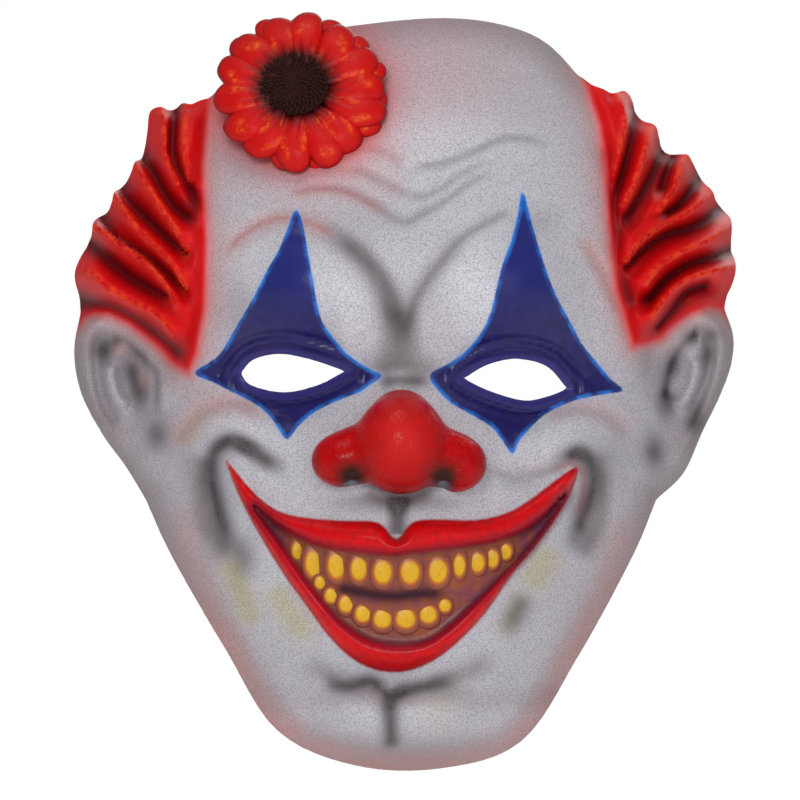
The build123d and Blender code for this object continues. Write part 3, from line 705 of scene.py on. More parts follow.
# Brown airbrush in the brow furrow, at the nose root, under the nose, in the folds by the mouth and chin and in
# front of the ears, which also stands as painted shade in these creases and recesses.
SHADE_AND_AIRBRUSH_STROKES = [
    ([(-1, 24), (-1, 14), (-1, 4), (-1, 0)], 4.5, 0.62, 0.3),
    ([(-28, 44.5), (-18, 39.5), (-11, 33), (-6.5, 26), (-4, 18), (-3, 10)], 3.6, 0.66, 0.3),
    (RIGHT_BROW_FOLD[3:], 3.0, 0.3, 0.3),
    ([(-59, -22), (-60.5, -32), (-58.5, -44), (-50, -56)], 4.2, 0.6, 0.15),
    ([(57, -21), (60, -31), (58, -45), (51, -55)], 3.6, 0.55, 0.15),
    ([(-32, -84), (-18, -90.5), (-6, -92)], 3.2, 0.4, 0.3), ([(30, -82), (16, -89.5), (4, -92)], 3.2, 0.4, 0.3),
    ([(37.5, -63), (34, -70), (29, -80)], 3.4, 0.7, 0.4),
]
SHADE_AND_AIRBRUSH_DABS = [
    (-12, 46, 20, 8, 0.2), (-7.5, 2.5, 4.5, 4, 0.45), (7, 2, 4.5, 4, 0.45), (-48, 20, 5, 9, 0.25),
    (40, 46, 6, 4, 0.25), (-22, 14, 4, 8, 0.2), (-47.5, -54, 4, 6, 0.6), (-11, -37.5, 9, 3, 0.4),
    (9, -37.5, 9, 3, 0.4), (36, 18, 5, 5, 0.25), (-70, 3, 4, 6, 0.3), (73, 4, 4, 8, 0.4),
]
# Near-black lines in the forehead wrinkles, brow folds, grin folds, philtrum, chin folds and the ear hollows:
# airbrush that also stands as painted shade in these grooves.
FOREHEAD_STROKES = [
    (FOREHEAD_LINES[0][3:], 1.2, 0.62, 0.15), (FOREHEAD_LINES[0][:4], 1.1, 0.3, 0.15),
    (FOREHEAD_LINES[1], 1.1, 0.5, 0.15), (FOREHEAD_LINES[2], 1.1, 0.55, 0.15),
]
FACE_STROKES = [
    (LEFT_BROW_FOLD[5:], 1.6, 0.5, 0.3), (RIGHT_BROW_FOLD, 1.3, 0.42, 0.15),
    ([(-8, -1.9), (-3, -1.4), (3, -1.4), (9.5, -2.1)], 2.0, 0.7, 0.25),
    (LEFT_GRIN_FOLD, 2.7, 0.9, 0.16), (RIGHT_GRIN_FOLD[:5], 1.4, 0.3, 0.2), (RIGHT_GRIN_FOLD[3:], 2.6, 0.85, 0.2),
    ([(-13, -33.6), (-8, -36.2), (-1.5, -38.4), (4.5, -36.4), (10, -33.8)], 2.4, 0.5, 0.2),
    (PHILTRUM, 2.8, 0.85, 0.05), (CHIN_CLEFT, 2.6, 0.85, 0.15),
    (CHIN_LEFT_FOLD, 1.9, 0.8, 0.25), (CHIN_RIGHT_FOLD, 1.9, 0.8, 0.25),
    (LEFT_EAR_GROOVE, 2.6, 0.2, 0.1), (LEFT_EAR_FRONT, 1.3, 0.5, 0.1),
    (RIGHT_EAR_FRONT, 1.5, 0.5, 0.1), (RIGHT_EAR_GROOVE, 2.0, 0.3, 0.1),
]
FACE_DABS = [(-48, -21.5, 6, 3, 0.4), (54, -22.5, 5, 3, 0.35), (-1, -37, 7, 2.5, 0.3), (-3, -94, 9, 5, 0.35)]
EAR_DABS = [
    (-88.5, 7.6, 4.4, 4, 0.85), (-81, 2.2, 3.6, 5, 0.8), (-79, -5, 3.4, 5, 0.75), (-73.6, -17.5, 4, 6, 0.7),
    (79, -7.9, 3.2, 4.5, 0.8), (75, -23, 3.6, 6, 0.8), (81, 2.5, 2.6, 4, 0.6), (90.8, 6.5, 2.6, 4, 0.6),
    (88.3, -14, 3, 5, 0.6), (92.5, 12.5, 3, 2, 0.45),
]
GRIN_RED_LINE = [(44, -29.5), (49.5, -26), (53.5, -29), (53.5, -36), (51.5, -43)]


def dabbed(p, dabs):
    """All the dabs of one paint, added up."""
    return sum(amount * dab(p.x, p.z, *place) for *place, amount in dabs)


def brushed(p, strokes):
    """All the strokes of one paint, added up."""
    return sum(amount * p.brush(line, width, taper) for line, width, amount, taper in strokes)


def skin_airbrush(p):
    """The soft paint: greys and browns blown into the recesses, which also stand as painted shade there, painted
    highlights on the rounded forms, rose toward the edges and red on the hair, darker in its valleys as painted
    shade.
    """
    x, z = p.x, p.z
    c = np.tile(np.array(SKIN_GREY), (len(x), 1))
    # Painted highlights on the rounded forms.
    c = lay(c, paint(214, 213, 219), dabbed(p, SKIN_HIGHLIGHT_DABS))
    # Darker toward the outline and under the chin: brown airbrush at the edges, and painted shade where the skin
    # turns away from the light.
    c = lay(c, paint(124, 108, 106), 0.62 * ramp(-p.edge, -11, 1) + 0.12 * ramp(-p.edge, -36, -8))
    c = lay(c, paint(104, 84, 78), 0.62 * dab(x, z, -2, -117, 34, 9))
    c = lay(c, paint(206, 130, 138), dabbed(p, [(4, 92, 26, 16, 0.32), (-62, 30, 10, 30, 0.15)]))
    c = lay(c, ROSE, 0.55 * ramp(-p.edge, -9, -1) * ramp(-z, 30, 110))
    c = lay(c, ROSE, 0.5 * np.exp(-((p.hair / 5) ** 2)) * (p.hair > 0))
    for line, width, amount in ROSE_STROKES:
        c = lay(c, ROSE, amount * p.brush(line, width))
    for line, width, amount in OLIVE_STROKES:
        c = lay(c, OLIVE, amount * p.brush(line, width, 0.3))
    # Brown airbrush in the creases, also painted shade there.
    c = lay(c, SHADE_AND_AIRBRUSH_BROWN, np.clip(brushed(p, SHADE_AND_AIRBRUSH_STROKES) + dabbed(p, SHADE_AND_AIRBRUSH_DABS), 0, 0.8))
    # Near-black airbrush in the wrinkles, folds and ear hollows, also painted shade there.
    marks = brushed(p, FOREHEAD_STROKES) * 0.6 * ramp(p.flower, 0, 8)
    marks += brushed(p, FACE_STROKES) + dabbed(p, FACE_DABS) + dabbed(p, EAR_DABS)
    c = lay(c, BLACK_BROWN, np.clip(marks, 0, 0.94))
    c = lay(c, paint(150, 30, 30), 0.5 * p.brush(GRIN_RED_LINE, 1.2))
    red_lines = 0.55 * p.brush(LEFT_BROW_FOLD[:7], 0.8) + 0.4 * p.brush(FOREHEAD_LINES[2][:6], 0.9)
    c = lay(c, paint(176, 84, 78), red_lines)
    c = lay(c, paint(205, 150, 140), dabbed(p, [(-84.5, 8, 2.2, 2.4, 0.5), (-77.5, -1, 2, 3, 0.4)]))
    halo = np.exp(-((np.maximum(p.flower, 0) / 6.5) ** 1.4)) * (0.75 + 0.25 * ramp(z, 100, 70))
    c = lay(c, paint(214, 40, 38), 0.9 * halo)
    c = lay(c, HAIR_RED, ramp(-p.hair, -2.6, 1.6))
    within = ramp(-p.hair, 0, 4)
    share = lock_share(p)
    # Darker down into the valleys between the locks: dark red paint in the grooves that also stands as painted
    # shade.
    c = lay(c, paint(128, 4, 14), 0.75 * (1 - ramp(share, 0.1, 0.75)) * within)
    c = lay(c, HAIR_DARK, 0.85 * (1 - ramp(share, 0.0, 0.36)) * within)
    return lay(c, paint(206, 50, 46), 0.2 * ramp(-p.edge, -2.6, -0.4) * ramp(share, 0.3, 0.8) * within)


# ------------------------------------------------------------------ materials

def latex_paint():
    """The painted outside: airbrushed latex with fine dark speckle, crisp blue diamonds, lips and gums."""
    s = Shade("painted_latex")
    soft = s.colours("airbrush")
    bare = s.step(s.field("hair"), -1.0, 2.0)
    cloud = s.sum("MULTIPLY", s.step(s.noise(7.0, 3.0, 0.6), 0.35, 0.75, 0.0, 0.16), bare)
    soft = s.mix(cloud, soft, paint(168, 160, 168))
    grain = s.noise(0.44, 2.0, 0.7)
    dust = s.sum("MULTIPLY", s.step(grain, 0.44, 0.62), s.sum("MULTIPLY", bare, 0.56))
    soft = s.mix(dust, soft, paint(112, 106, 114))
    # Orange along the crests of the locks: dry-brushed paint that also stands as painted highlight.
    crest = s.sum("MULTIPLY", s.field("crest"), s.step(s.noise(2.6, 3.0, 0.6, seed=7.0), 0.40, 0.62))
    soft = s.mix(crest, soft, HAIR_ORANGE)
    ragged = s.sum("MULTIPLY", s.sum("SUBTRACT", s.noise(1.6, 2.0, 0.6, seed=1.0), 0.5), 0.45)
    diamond = s.sum("ADD", s.field("diamond"), ragged)
    blue = s.mix(s.step(s.noise(2.4, 3.0, 0.6, seed=4.0), 0.3, 0.75), NAVY, paint(34, 28, 96))
    # Lighter blue on the lid rims round each eye hole: painted highlight.
    blue = s.mix(s.step(s.field("eye"), 0.4, 3.2, 0.55, 0.0), blue, paint(58, 54, 128))
    blue = s.mix(s.sum("MULTIPLY", s.step(s.field("height"), 12, 34), 0.6), blue, paint(34, 44, 118))
    patchy = s.step(s.noise(5.0, 2.0, 0.5, seed=8.0), 0.36, 0.62, 0.15, 0.85)
    blue = s.mix(s.sum("MULTIPLY", s.step(diamond, -1.5, -0.3), patchy), blue, AZURE)
    halo = s.mix(s.sum("MULTIPLY", s.step(diamond, 0.1, 1.6, 0.4, 0.0), patchy), soft, paint(120, 160, 210))
    colour = s.mix(s.step(diamond, -0.25, 0.35), blue, halo)
    lip = s.sum("ADD", s.field("lip"), ragged)
    red = s.mix(s.step(s.noise(2.2, 3.0, 0.6, seed=2.0), 0.35, 0.8), LIP_RED, paint(168, 14, 24))
    red = s.mix(s.step(lip, -1.6, -0.2, 0.0, 0.35), red, paint(120, 8, 16))
    # Darker along the bottom of the lower lip, where it turns under: painted shade.
    red = s.mix(s.step(s.field("height"), -80, -88, 0.0, 0.35), red, paint(110, 10, 20))
    colour = s.mix(s.step(lip, -0.4, 0.45), red, colour)
    gum = s.sum("ADD", s.field("gum"), ragged)
    flesh = s.mix(s.step(s.noise(3.0, 3.0, 0.6, seed=5.0), 0.35, 0.7), GUM, paint(144, 74, 48))
    flesh = s.mix(s.step(s.field("gum"), -2.6, 0.2, 0.0, 0.8), flesh, GUM_DARK)
    flesh = s.mix(s.field("stain"), flesh, paint(146, 82, 44))
    flesh = s.mix(s.field("bite"), flesh, paint(40, 14, 30))
    colour = s.mix(s.step(gum, 0.0, 3.6, 0.8, 0.0), colour, paint(104, 12, 36))
    colour = s.mix(s.step(gum, -0.9, 0.9), flesh, colour)
    lip_sheen = s.step(s.field("lip"), -0.4, 0.4, 0.30, 0.47)
    diamond_sheen = s.step(s.field("diamond"), -1, 0.5, 0.3, 0.47)
    pores = s.noise(0.9, 3.0, 0.6, seed=6.0)
    return s.finish(
        Base_Color=colour, Roughness=s.sum("MINIMUM", lip_sheen, diamond_sheen), Normal=s.bump(pores, 0.10),
        Specular_IOR_Level=s.step(s.field("diamond"), -1.0, 0.5, 0.26, 0.13),
    )


def raw_latex():
    """The bare back of the skin and its rim."""
    s = Shade("raw_latex")
    tone = s.mix(s.noise(14.0, 4.0, 0.6), paint(214, 190, 146), paint(236, 220, 186))
    tone = s.mix(s.step(s.noise(1.2, 3.0, 0.7, seed=2.0), 0.62, 0.8, 0.0, 0.4), tone, paint(180, 150, 104))
    return s.finish(Base_Color=tone, Roughness=0.62, Normal=s.bump(s.noise(1.6, 4.0, 0.65, seed=1.0), 0.22))


def nose_gloss():
    """Red gloss with a fine crackle, dark round the nostrils as airbrush and painted shade, with a painted
    highlight on top and grey painted shadow in the nostril holes.
    """
    s = Shade("nose_gloss")
    tone = s.mix(s.noise(5.0, 3.0, 0.6), paint(194, 1, 6), paint(150, 0, 4))
    # Dark airbrush round the nostrils, under the nose and beside its wings, also painted shade there.
    tone = s.mix(s.field("nose_dark"), tone, BLACK_BROWN)
    # Painted highlight on top of the ball.
    tone = s.mix(s.field("nose_highlight"), tone, paint(240, 70, 62))
    # Grey in each nostril hole: painted shadow of its dark inside.
    tone = s.mix(s.field("nostril_painted_shadow"), tone, paint(96, 102, 110))
    crackle = s.step(s.cells(1.5), 0.0, 0.09)
    fine = s.noise(0.7, 3.0, 0.6)
    height = s.sum("ADD", s.sum("MULTIPLY", crackle, 0.6), s.sum("MULTIPLY", fine, 0.7))
    return s.finish(
        Base_Color=tone, Roughness=0.24, Normal=s.bump(height, 0.1), Specular_IOR_Level=0.11,
    )


def tooth_enamel():
    """Yellow tooth paint, browner toward the edges."""
    s = Shade("tooth_paint")
    tone = s.mix(s.noise(2.2, 3.0, 0.6), paint(202, 148, 8), paint(216, 172, 14))
    tone = s.mix(s.step(s.noise(1.1, 3.0, 0.7, seed=3.0), 0.5, 0.75, 0.0, 0.6), tone, paint(168, 104, 10))
    tone = s.mix(s.step(s.field("tooth_edge"), 0.0, 0.5), tone, paint(176, 92, 18))
    tone = s.mix(s.step(s.field("tooth_edge"), 0.4, 0.97), tone, paint(132, 68, 52))
    return s.finish(Base_Color=tone, Roughness=0.36, Normal=s.bump(s.noise(0.8, 2.0), 0.1), Specular_IOR_Level=0.3)


# ------------------------------------------------------------------ skin

def steps_between(stops):
    """Grid lines from (start, spacing) stops, the last of which only ends the run."""
    lines = []
    for (start, spacing), (end, _) in zip(stops, stops[1:]):
        count = max(1, round((end - start) / spacing))
        lines += [start + (end - start) * i / count for i in range(count)]
    return np.array(lines + [stops[-1][0]], float)


def mask_skin():
    """The whole skin, painted in front and raw behind."""
    fine = 1.0
    # Each run of grid lines: where it starts, and its spacing
    across = steps_between([(-100.4, 0.8 * fine), (-56, 0.9 * fine), (56, 0.8 * fine), (100.8, 0)])
    up = steps_between([(-118.4, 1.1 * fine), (-88, 0.8 * fine), (-34, 0.95 * fine), (86, 1.1 * fine), (108.6, 0)])
    flat, faces = clipped_grid(across, up, outside_skin)
    p = Places(flat[:, 0], flat[:, 1])
    face, back = skin_depths(p)
    outer = np.column_stack([p.x, face, p.z])
    inner = np.column_stack([p.x, back, p.z])
    points, faces, front, behind, rim = shell(outer, inner, faces)
    painted_or_raw = [0] * front + [1] * (behind + rim)
    skin = add_mesh("mask_skin_cast", points, faces, [latex_paint(), raw_latex()], painted_or_raw)
    write_field(skin, "airbrush", np.tile(skin_airbrush(p), (2, 1)))
    # Where the orange of the crests goes: dry-brush and painted highlight along each lock.
    crest = np.exp(-((p.crest / 0.95) ** 2)) * ramp(-p.hair, 1.5, 5)
    bite = stroke(p.x, p.z, BITE_LINE, 2.2) * 0.95
    stain = np.zeros(len(p.x))
    for tx, tz, wide, high in UPPER_TEETH + LOWER_TEETH:
        stain = np.maximum(stain, 0.9 * dab(p.x, p.z, tx, tz, wide / 2 + 1.7, high / 2 + 1.9))
    for name, values in (
        ("diamond", p.diamond), ("lip", p.lip), ("gum", p.gum), ("hair", p.hair), ("eye", p.eye),
        ("crest", 0.75 * crest), ("bite", bite), ("stain", stain),
    ):
        write_field(skin, name, np.tile(np.clip(values, -12, 12), 2))
    write_field(skin, "height", np.tile(p.z, 2))
    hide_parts("mask_skin")
    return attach(skin, "mask")


mask_skin()

# ------------------------------------------------------------------ nose

def blend_forms(values, softness=3.0):
    """Smooth union of distances."""
    values = np.array(values)
    low = values.min(0)
    return low - softness * np.log(np.exp(-(values - low) / softness).sum(0))


def nose_distance(q):
    """Distance from the nose's surface: ball, wings and bridge blended, less a pit at each nostril."""
    forms = []
    for middle, half in (
        ((-0.5, -31.0, -20.4), (13.6, 17.5, 14.8)),
        ((-17.6, -28.0, -25.2), (9.6, 10.4, 8.0)),
        ((15.6, -28.0, -26.2), (9.2, 10.4, 8.4)),
        ((-12.0, -26.0, -21.0), (8.0, 8.0, 6.0)),
        ((10.6, -26.0, -22.0), (8.0, 8.0, 6.0)),
        ((-0.5, -24.0, -13.0), (8.5, 8.0, 8.5)),
    ):
        away = np.sqrt((((q - np.array(middle)) / np.array(half)) ** 2).sum(-1))
        forms.append((away - 1) * min(half))
    far = blend_forms(forms, 1.5)
    for x, z, wide, high in NOSTRILS:
        across, deep, up = (q[..., 0] - x) / wide, (q[..., 1] + 33.0) / 4.2, (q[..., 2] - z + 0.6) / high
        pit = np.sqrt(across**2 + deep**2 + up**2)
        far = far + 2.6 * np.exp(-(pit**2) * 0.9)
    return far


def seated(points):
    """Points of a raised form, held inside the wall of the skin so nothing shows on its back."""
    points = np.array(points)
    face, _ = skin_depths(Places(points[:, 0], points[:, 2]))
    points[:, 1] = np.minimum(points[:, 1], face + 1.1)
    return points


def nose():
    """A ball with two wings, glossy, seated on the skin and pinched in where it meets it."""
    rings, turns = ((130, 200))
    middle = np.array((-0.5, -27.0, -22.5))
    polar = np.pi * (np.arange(1, rings) / rings)
    turn = 2 * np.pi * np.arange(turns) / turns
    t, u = np.meshgrid(polar, turn, indexing="ij")
    rays = np.stack([np.sin(t) * np.cos(u), -np.cos(t), np.sin(t) * np.sin(u)], -1)
    rays = np.vstack([[[0, -1, 0]], rays.reshape(-1, 3), [[0, 1, 0]]])
    low, high = np.zeros(len(rays)), np.full(len(rays), 40.0)
    for _ in range(26):
        half = (low + high) / 2
        within = nose_distance(middle + rays * half[:, None]) < 0
        low, high = np.where(within, half, low), np.where(within, high, half)
    points = seated(middle + rays * low[:, None])
    faces = [[0, 1 + (i + 1) % turns, 1 + i] for i in range(turns)]
    for r in range(rings - 2):
        a, b = 1 + r * turns, 1 + (r + 1) * turns
        faces += [[a + i, a + (i + 1) % turns, b + (i + 1) % turns, b + i] for i in range(turns)]
    last = len(points) - 1
    a = 1 + (rings - 2) * turns
    faces += [[last, a + i, a + (i + 1) % turns] for i in range(turns)]
    thing = add_mesh("nose_cast", points, faces, [nose_gloss()])
    x, z = points[:, 0], points[:, 2]
    dark, hole = 0.0, np.zeros(len(x))
    # Darker round and above each nostril: dark airbrush that also stands as painted shade.
    for nx, nz, wide, high in NOSTRILS:
        dark = dark + 1.0 * dab(x, z, nx, nz + 2.6, 4.4, 4.0) + 0.3 * dab(x, z, nx, nz + 5, 5, 4.5)
        hole = np.maximum(hole, ramp(-np.hypot((x - nx) / wide, (z - nz - 0.6) / high), -1.0, -0.6))
    # Darker under the nose and beside its wings: airbrush that also stands as painted shade.
    dark = dark + 0.4 * dab(x, z, -0.5, -36, 9, 4)
    dark = dark + 0.3 * dab(x, z, -27, -26, 2.5, 6) + 0.3 * dab(x, z, 24.5, -27, 2.5, 6)
    write_field(thing, "nose_dark", np.clip(dark, 0, 0.97))
    # Grey where each nostril hole shows: painted shadow of its dark inside.
    write_field(thing, "nostril_painted_shadow", hole)
    # A lighter dab on top of the ball: painted highlight.
    write_field(thing, "nose_highlight", 0.22 * dab(x, z, 0, -18, 9, 9))
    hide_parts("mask_skin")
    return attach(thing, "mask")


nose()

# ------------------------------------------------------------------ teeth

def pebble(middle, half, power=2.6, rows=10, around=18, lean=0.0):
    """A closed rounded block round a middle point."""
    points, faces = [], []
    for r in range(rows + 1):
        t = math.pi * r / rows
        for i in range(around):
            u = 2 * math.pi * i / around
            d = np.array([math.sin(t) * math.cos(u), -math.cos(t), math.sin(t) * math.sin(u)])
            size = (np.abs(d) ** power).sum() ** (-1 / power)
            q = d * size * np.array(half)
            points.append(np.array(middle) + q + np.array([lean * q[2], 0, 0]))
            if r in (0, rows):
                break
    faces += [[0, 1 + (i + 1) % around, 1 + i] for i in range(around)]
    for r in range(rows - 2):
        a, b = 1 + r * around, 1 + (r + 1) * around
        faces += [[a + i, a + (i + 1) % around, b + (i + 1) % around, b + i] for i in range(around)]
    last = len(points) - 1
    a = 1 + (rows - 2) * around
    faces += [[last, a + i, a + (i + 1) % around] for i in range(around)]
    return np.array(points), faces


def join(parts):
    """Several meshes as one."""
    points, faces, count = [], [], 0
    for p, f in parts:
        points.append(p)
        faces += [[i + count for i in face] for face in f]
        count += len(p)
    return np.vstack(points), faces


def teeth():
    """Both rows of teeth as raised blocks, each seated on the skin."""
    spots = [(*tooth, 1) for tooth in UPPER_TEETH] + [(*tooth, -1) for tooth in LOWER_TEETH]
    x = np.array([s[0] for s in spots], float)
    z = np.array([s[1] for s in spots], float)
    depth, _ = skin_depths(Places(x, z))
    blocks, edges = [], []
    for (x, z, width, height, row), y in zip(spots, depth):
        half = (width / 2 + 1.2, 1.5, height / 2 + 0.9)
        block = pebble((x, y + 0.55, z), half, 2.3, 18, 36, 0.03 * x / 10)
        blocks.append(block)
        q = block[0]
        rim = np.sqrt(((q[:, 0] - x) / half[0]) ** 2 + ((q[:, 2] - z) / half[2]) ** 2)
        root = ramp((q[:, 2] - z) * row / half[2], 0.25, 1.0)
        edges.append(np.clip(0.97 * ramp(rim, 0.45, 0.93) + 0.35 * root, 0, 0.97))
    points, faces = join(blocks)
    thing = add_mesh("teeth_cast", seated(points), faces, [tooth_enamel()])
    write_field(thing, "tooth_edge", np.concatenate(edges))
    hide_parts("mask_skin")
    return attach(thing, "mask")


teeth()

# ------------------------------------------------------------------ flower

FLOWER_MIDDLE = (-30.5, 84.4)
FLOWER_FLAT = 0.90  # how much shorter it looks than it is wide, as it leans back
FLOWER_FRONT = -5.0
LEAN_UP, LEAN_ACROSS = 0.44, 0.2  # how far it leans back for each millimetre up, and forward for each one across
PETAL_DEPTH = 13.0
# Each ring of petals: how many, reach, half length, half width, lift, puff, and where the first one points
PETAL_RINGS = [
    (15, 18.6, 7.6, 4.9, -0.4, 3.0, 0.31), (14, 16.2, 9.8, 6.3, 1.2, 4.4, 0.10), (9, 11.5, 5.2, 3.6, 2.6, 2.6, 0.5),
]
STALKS = 170
GOLDEN_TURN = 2.39996  # from one stalk to the next, which spreads them evenly


def flower_slope(x, z):
    """How far back the flower's leaning front is."""
    return FLOWER_FRONT + (z - FLOWER_MIDDLE[1]) * LEAN_UP - (x - FLOWER_MIDDLE[0]) * LEAN_ACROSS


def flower_piece(reach, half_along, half_across, turn, lift, puff):
    """A petal: a closed puff with a groove down its middle, seated on the skin behind it."""
    points, faces = pebble((0, 0, 0), (1, 1, 1), 2.3, 22, 40)
    b, out, a = points[:, 0].copy(), -points[:, 1], points[:, 2].copy()
    side = b * half_across * (0.66 + 0.34 * ramp(a, -1, 0.4))
    far = reach + a * half_along
    side = side + 0.10 * np.sin(3.1 * a + 5 * turn) * half_across
    x = FLOWER_MIDDLE[0] + far * math.cos(turn) - side * math.sin(turn)
    z = FLOWER_MIDDLE[1] + (far * math.sin(turn) + side * math.cos(turn)) * FLOWER_FLAT
    groove = 0.22 * np.exp(-(((b - 0.25) / 0.16) ** 2)) * ramp(-a, -0.5, 0.8)
    droop = 1.6 * ramp(a, 0.2, 1.0)
    top = flower_slope(x, z) - lift + droop
    front = np.maximum(out, 0)
    skin = plain_head(x, z) + 0.8
    under = np.minimum(np.maximum(skin, top + 1.0), top + PETAL_DEPTH)
    y = top - puff * front * (1 - groove * (front > 0.2)) + np.minimum(out, 0) * (top - under)
    rim = np.exp(-(((np.hypot(b, np.maximum(a, 0)) - 0.52) / 0.13) ** 2))
    # Where the orange painted highlight runs along one side of the petal's rim.
    crest = ramp(front, 0.3, 0.6) * rim * ramp(np.sin(2.2 * np.arctan2(b, a + 0.01) + 9 * turn), -0.3, 0.6)
    shade = 1 - ramp(front, 0.0, 0.7)
    return np.column_stack([x, y, z]), faces, crest, shade


def flower():
    """Two rings of puffed petals and a short inner ring, all closed forms, round a dark heart."""
    blocks, crests, shades = [], [], []
    for ring, (count, reach, half_along, half_across, lift, puff, start) in enumerate(PETAL_RINGS):
        for k in range(count):
            sway = math.sin(12.9898 * (k + 1) + 78.233 * (ring + 1)) * 43758.5453 % 1.0 - 0.5
            turn = start + 2 * math.pi * (k + 0.22 * sway) / count
            petal, petal_faces, crest, shade = flower_piece(
                reach + 0.9 * sway, half_along * (1 + 0.12 * sway), half_across * (1 - 0.14 * sway), turn,
                lift + 0.7 * sway, puff,
            )
            blocks.append((petal, petal_faces))
            crests.append(crest)
            shades.append(shade)
    points, faces = join(blocks)
    s = Shade("petal_paint")
    red = s.mix(s.noise(4.0, 3.0, 0.6), paint(176, 4, 8), paint(204, 18, 12))
    red = s.mix(s.field("shade"), red, paint(96, 2, 10))
    # Orange brush marks along one side of each petal's rim, with yellower tips: painted highlights.
    brushed = s.sum("MULTIPLY", s.field("crest"), s.step(s.noise(1.6, 3.0, 0.65, seed=2.0), 0.38, 0.62))
    red = s.mix(brushed, red, paint(226, 84, 28))
    tip_highlight = s.sum("MULTIPLY", s.field("crest"), s.step(s.noise(2.6, 3.0, 0.65, seed=5.0), 0.56, 0.72))
    red = s.mix(tip_highlight, red, paint(228, 128, 40))
    red = s.mix(s.field("heart_fade"), red, paint(44, 8, 10))
    pores = s.bump(s.noise(1.0, 3.0, 0.6, seed=1.0), 0.14)
    material = s.finish(Base_Color=red, Roughness=0.42, Specular_IOR_Level=0.14, Normal=pores)
    thing = add_mesh("flower_petals", points, faces, [material])
    write_field(thing, "crest", 0.85 * np.concatenate(crests))
    write_field(thing, "shade", 0.8 * np.concatenate(shades))
    x, z = points[:, 0] - FLOWER_MIDDLE[0], points[:, 2] - FLOWER_MIDDLE[1]
    streak = 0.5 + 0.5 * np.sin(9 * np.arctan2(z, x) * 3.7)
    from_heart = np.hypot(x + 1.6, (z - 2.2) / FLOWER_FLAT)
    write_field(thing, "heart_fade", 0.97 * ramp(-from_heart, -15.0 - 2.5 * streak, -9.5))
    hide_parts("flower")
    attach(thing, "mask")


def heart_place(across, up):
    """A point of the flower's heart, which leans back with the flower."""
    x = FLOWER_MIDDLE[0] - 2.0 + across
    z = FLOWER_MIDDLE[1] + 2.6 + up * FLOWER_FLAT
    return x, flower_slope(x, z), z


def grown_on(name, points, outward, sizes, seed, material):
    """A stalk on each point, laid along its outward direction, as one plain mesh."""
    tree = bpy.data.node_groups.new(name + "_tree", "GeometryNodeTree")
    face = tree.interface
    face.new_socket("Points", in_out="INPUT", socket_type="NodeSocketGeometry")
    inputs = [face.new_socket(label, in_out="INPUT", socket_type="NodeSocketFloat") for label, _ in sizes]
    face.new_socket("Stalks", in_out="OUTPUT", socket_type="NodeSocketGeometry")
    new, link = tree.nodes.new, tree.links.new
    given, result = new("NodeGroupInput"), new("NodeGroupOutput")
    bead = new("GeometryNodeMeshIcoSphere")
    bead.inputs["Subdivisions"].default_value = 2
    bead.inputs["Radius"].default_value = 1.0
    size = new("ShaderNodeCombineXYZ")
    link(given.outputs[1], size.inputs["X"])
    link(given.outputs[1], size.inputs["Y"])
    link(given.outputs[2], size.inputs["Z"])
    uneven = new("FunctionNodeRandomValue")
    uneven.inputs[2].default_value, uneven.inputs[3].default_value = 0.8, 1.2
    uneven.inputs["Seed"].default_value = seed
    sized = new("ShaderNodeVectorMath")
    sized.operation = "SCALE"
    link(size.outputs[0], sized.inputs[0])
    link(uneven.outputs[1], sized.inputs["Scale"])
    lean = new("GeometryNodeInputNamedAttribute")
    lean.data_type = "FLOAT_VECTOR"
    lean.inputs["Name"].default_value = "outward"
    turned = new("FunctionNodeAlignRotationToVector")
    turned.axis = "Z"
    link(lean.outputs["Attribute"], turned.inputs["Vector"])
    put = new("GeometryNodeInstanceOnPoints")
    link(given.outputs[0], put.inputs["Points"])
    link(bead.outputs["Mesh"], put.inputs["Instance"])
    link(turned.outputs["Rotation"], put.inputs["Rotation"])
    link(sized.outputs[0], put.inputs["Scale"])
    real, smooth = new("GeometryNodeRealizeInstances"), new("GeometryNodeSetShadeSmooth")
    coat = new("GeometryNodeSetMaterial")
    coat.inputs["Material"].default_value = material
    link(put.outputs[0], smooth.inputs[0])
    link(smooth.outputs[0], real.inputs[0])
    link(real.outputs[0], coat.inputs["Geometry"])
    link(coat.outputs[0], result.inputs[0])
    seedbed = add_mesh(name + "_points", points, [], [material])
    field = seedbed.data.attributes.new("outward", "FLOAT_VECTOR", "POINT")
    field.data.foreach_set("vector", np.asarray(outward, np.float32).ravel())
    modifier = seedbed.modifiers.new("grow", "NODES")
    modifier.node_group = tree
    for socket, (_, value) in zip(inputs, sizes):
        modifier[socket.identifier] = value * MM * SIZE
    shown = seedbed.evaluated_get(bpy.context.evaluated_depsgraph_get())
    mesh = bpy.data.meshes.new_from_object(shown)
    seedbed.modifiers.remove(modifier)
    bpy.data.objects.remove(seedbed)
    thing = bpy.data.objects.new(name, mesh)
    bpy.context.collection.objects.link(thing)
    return thing


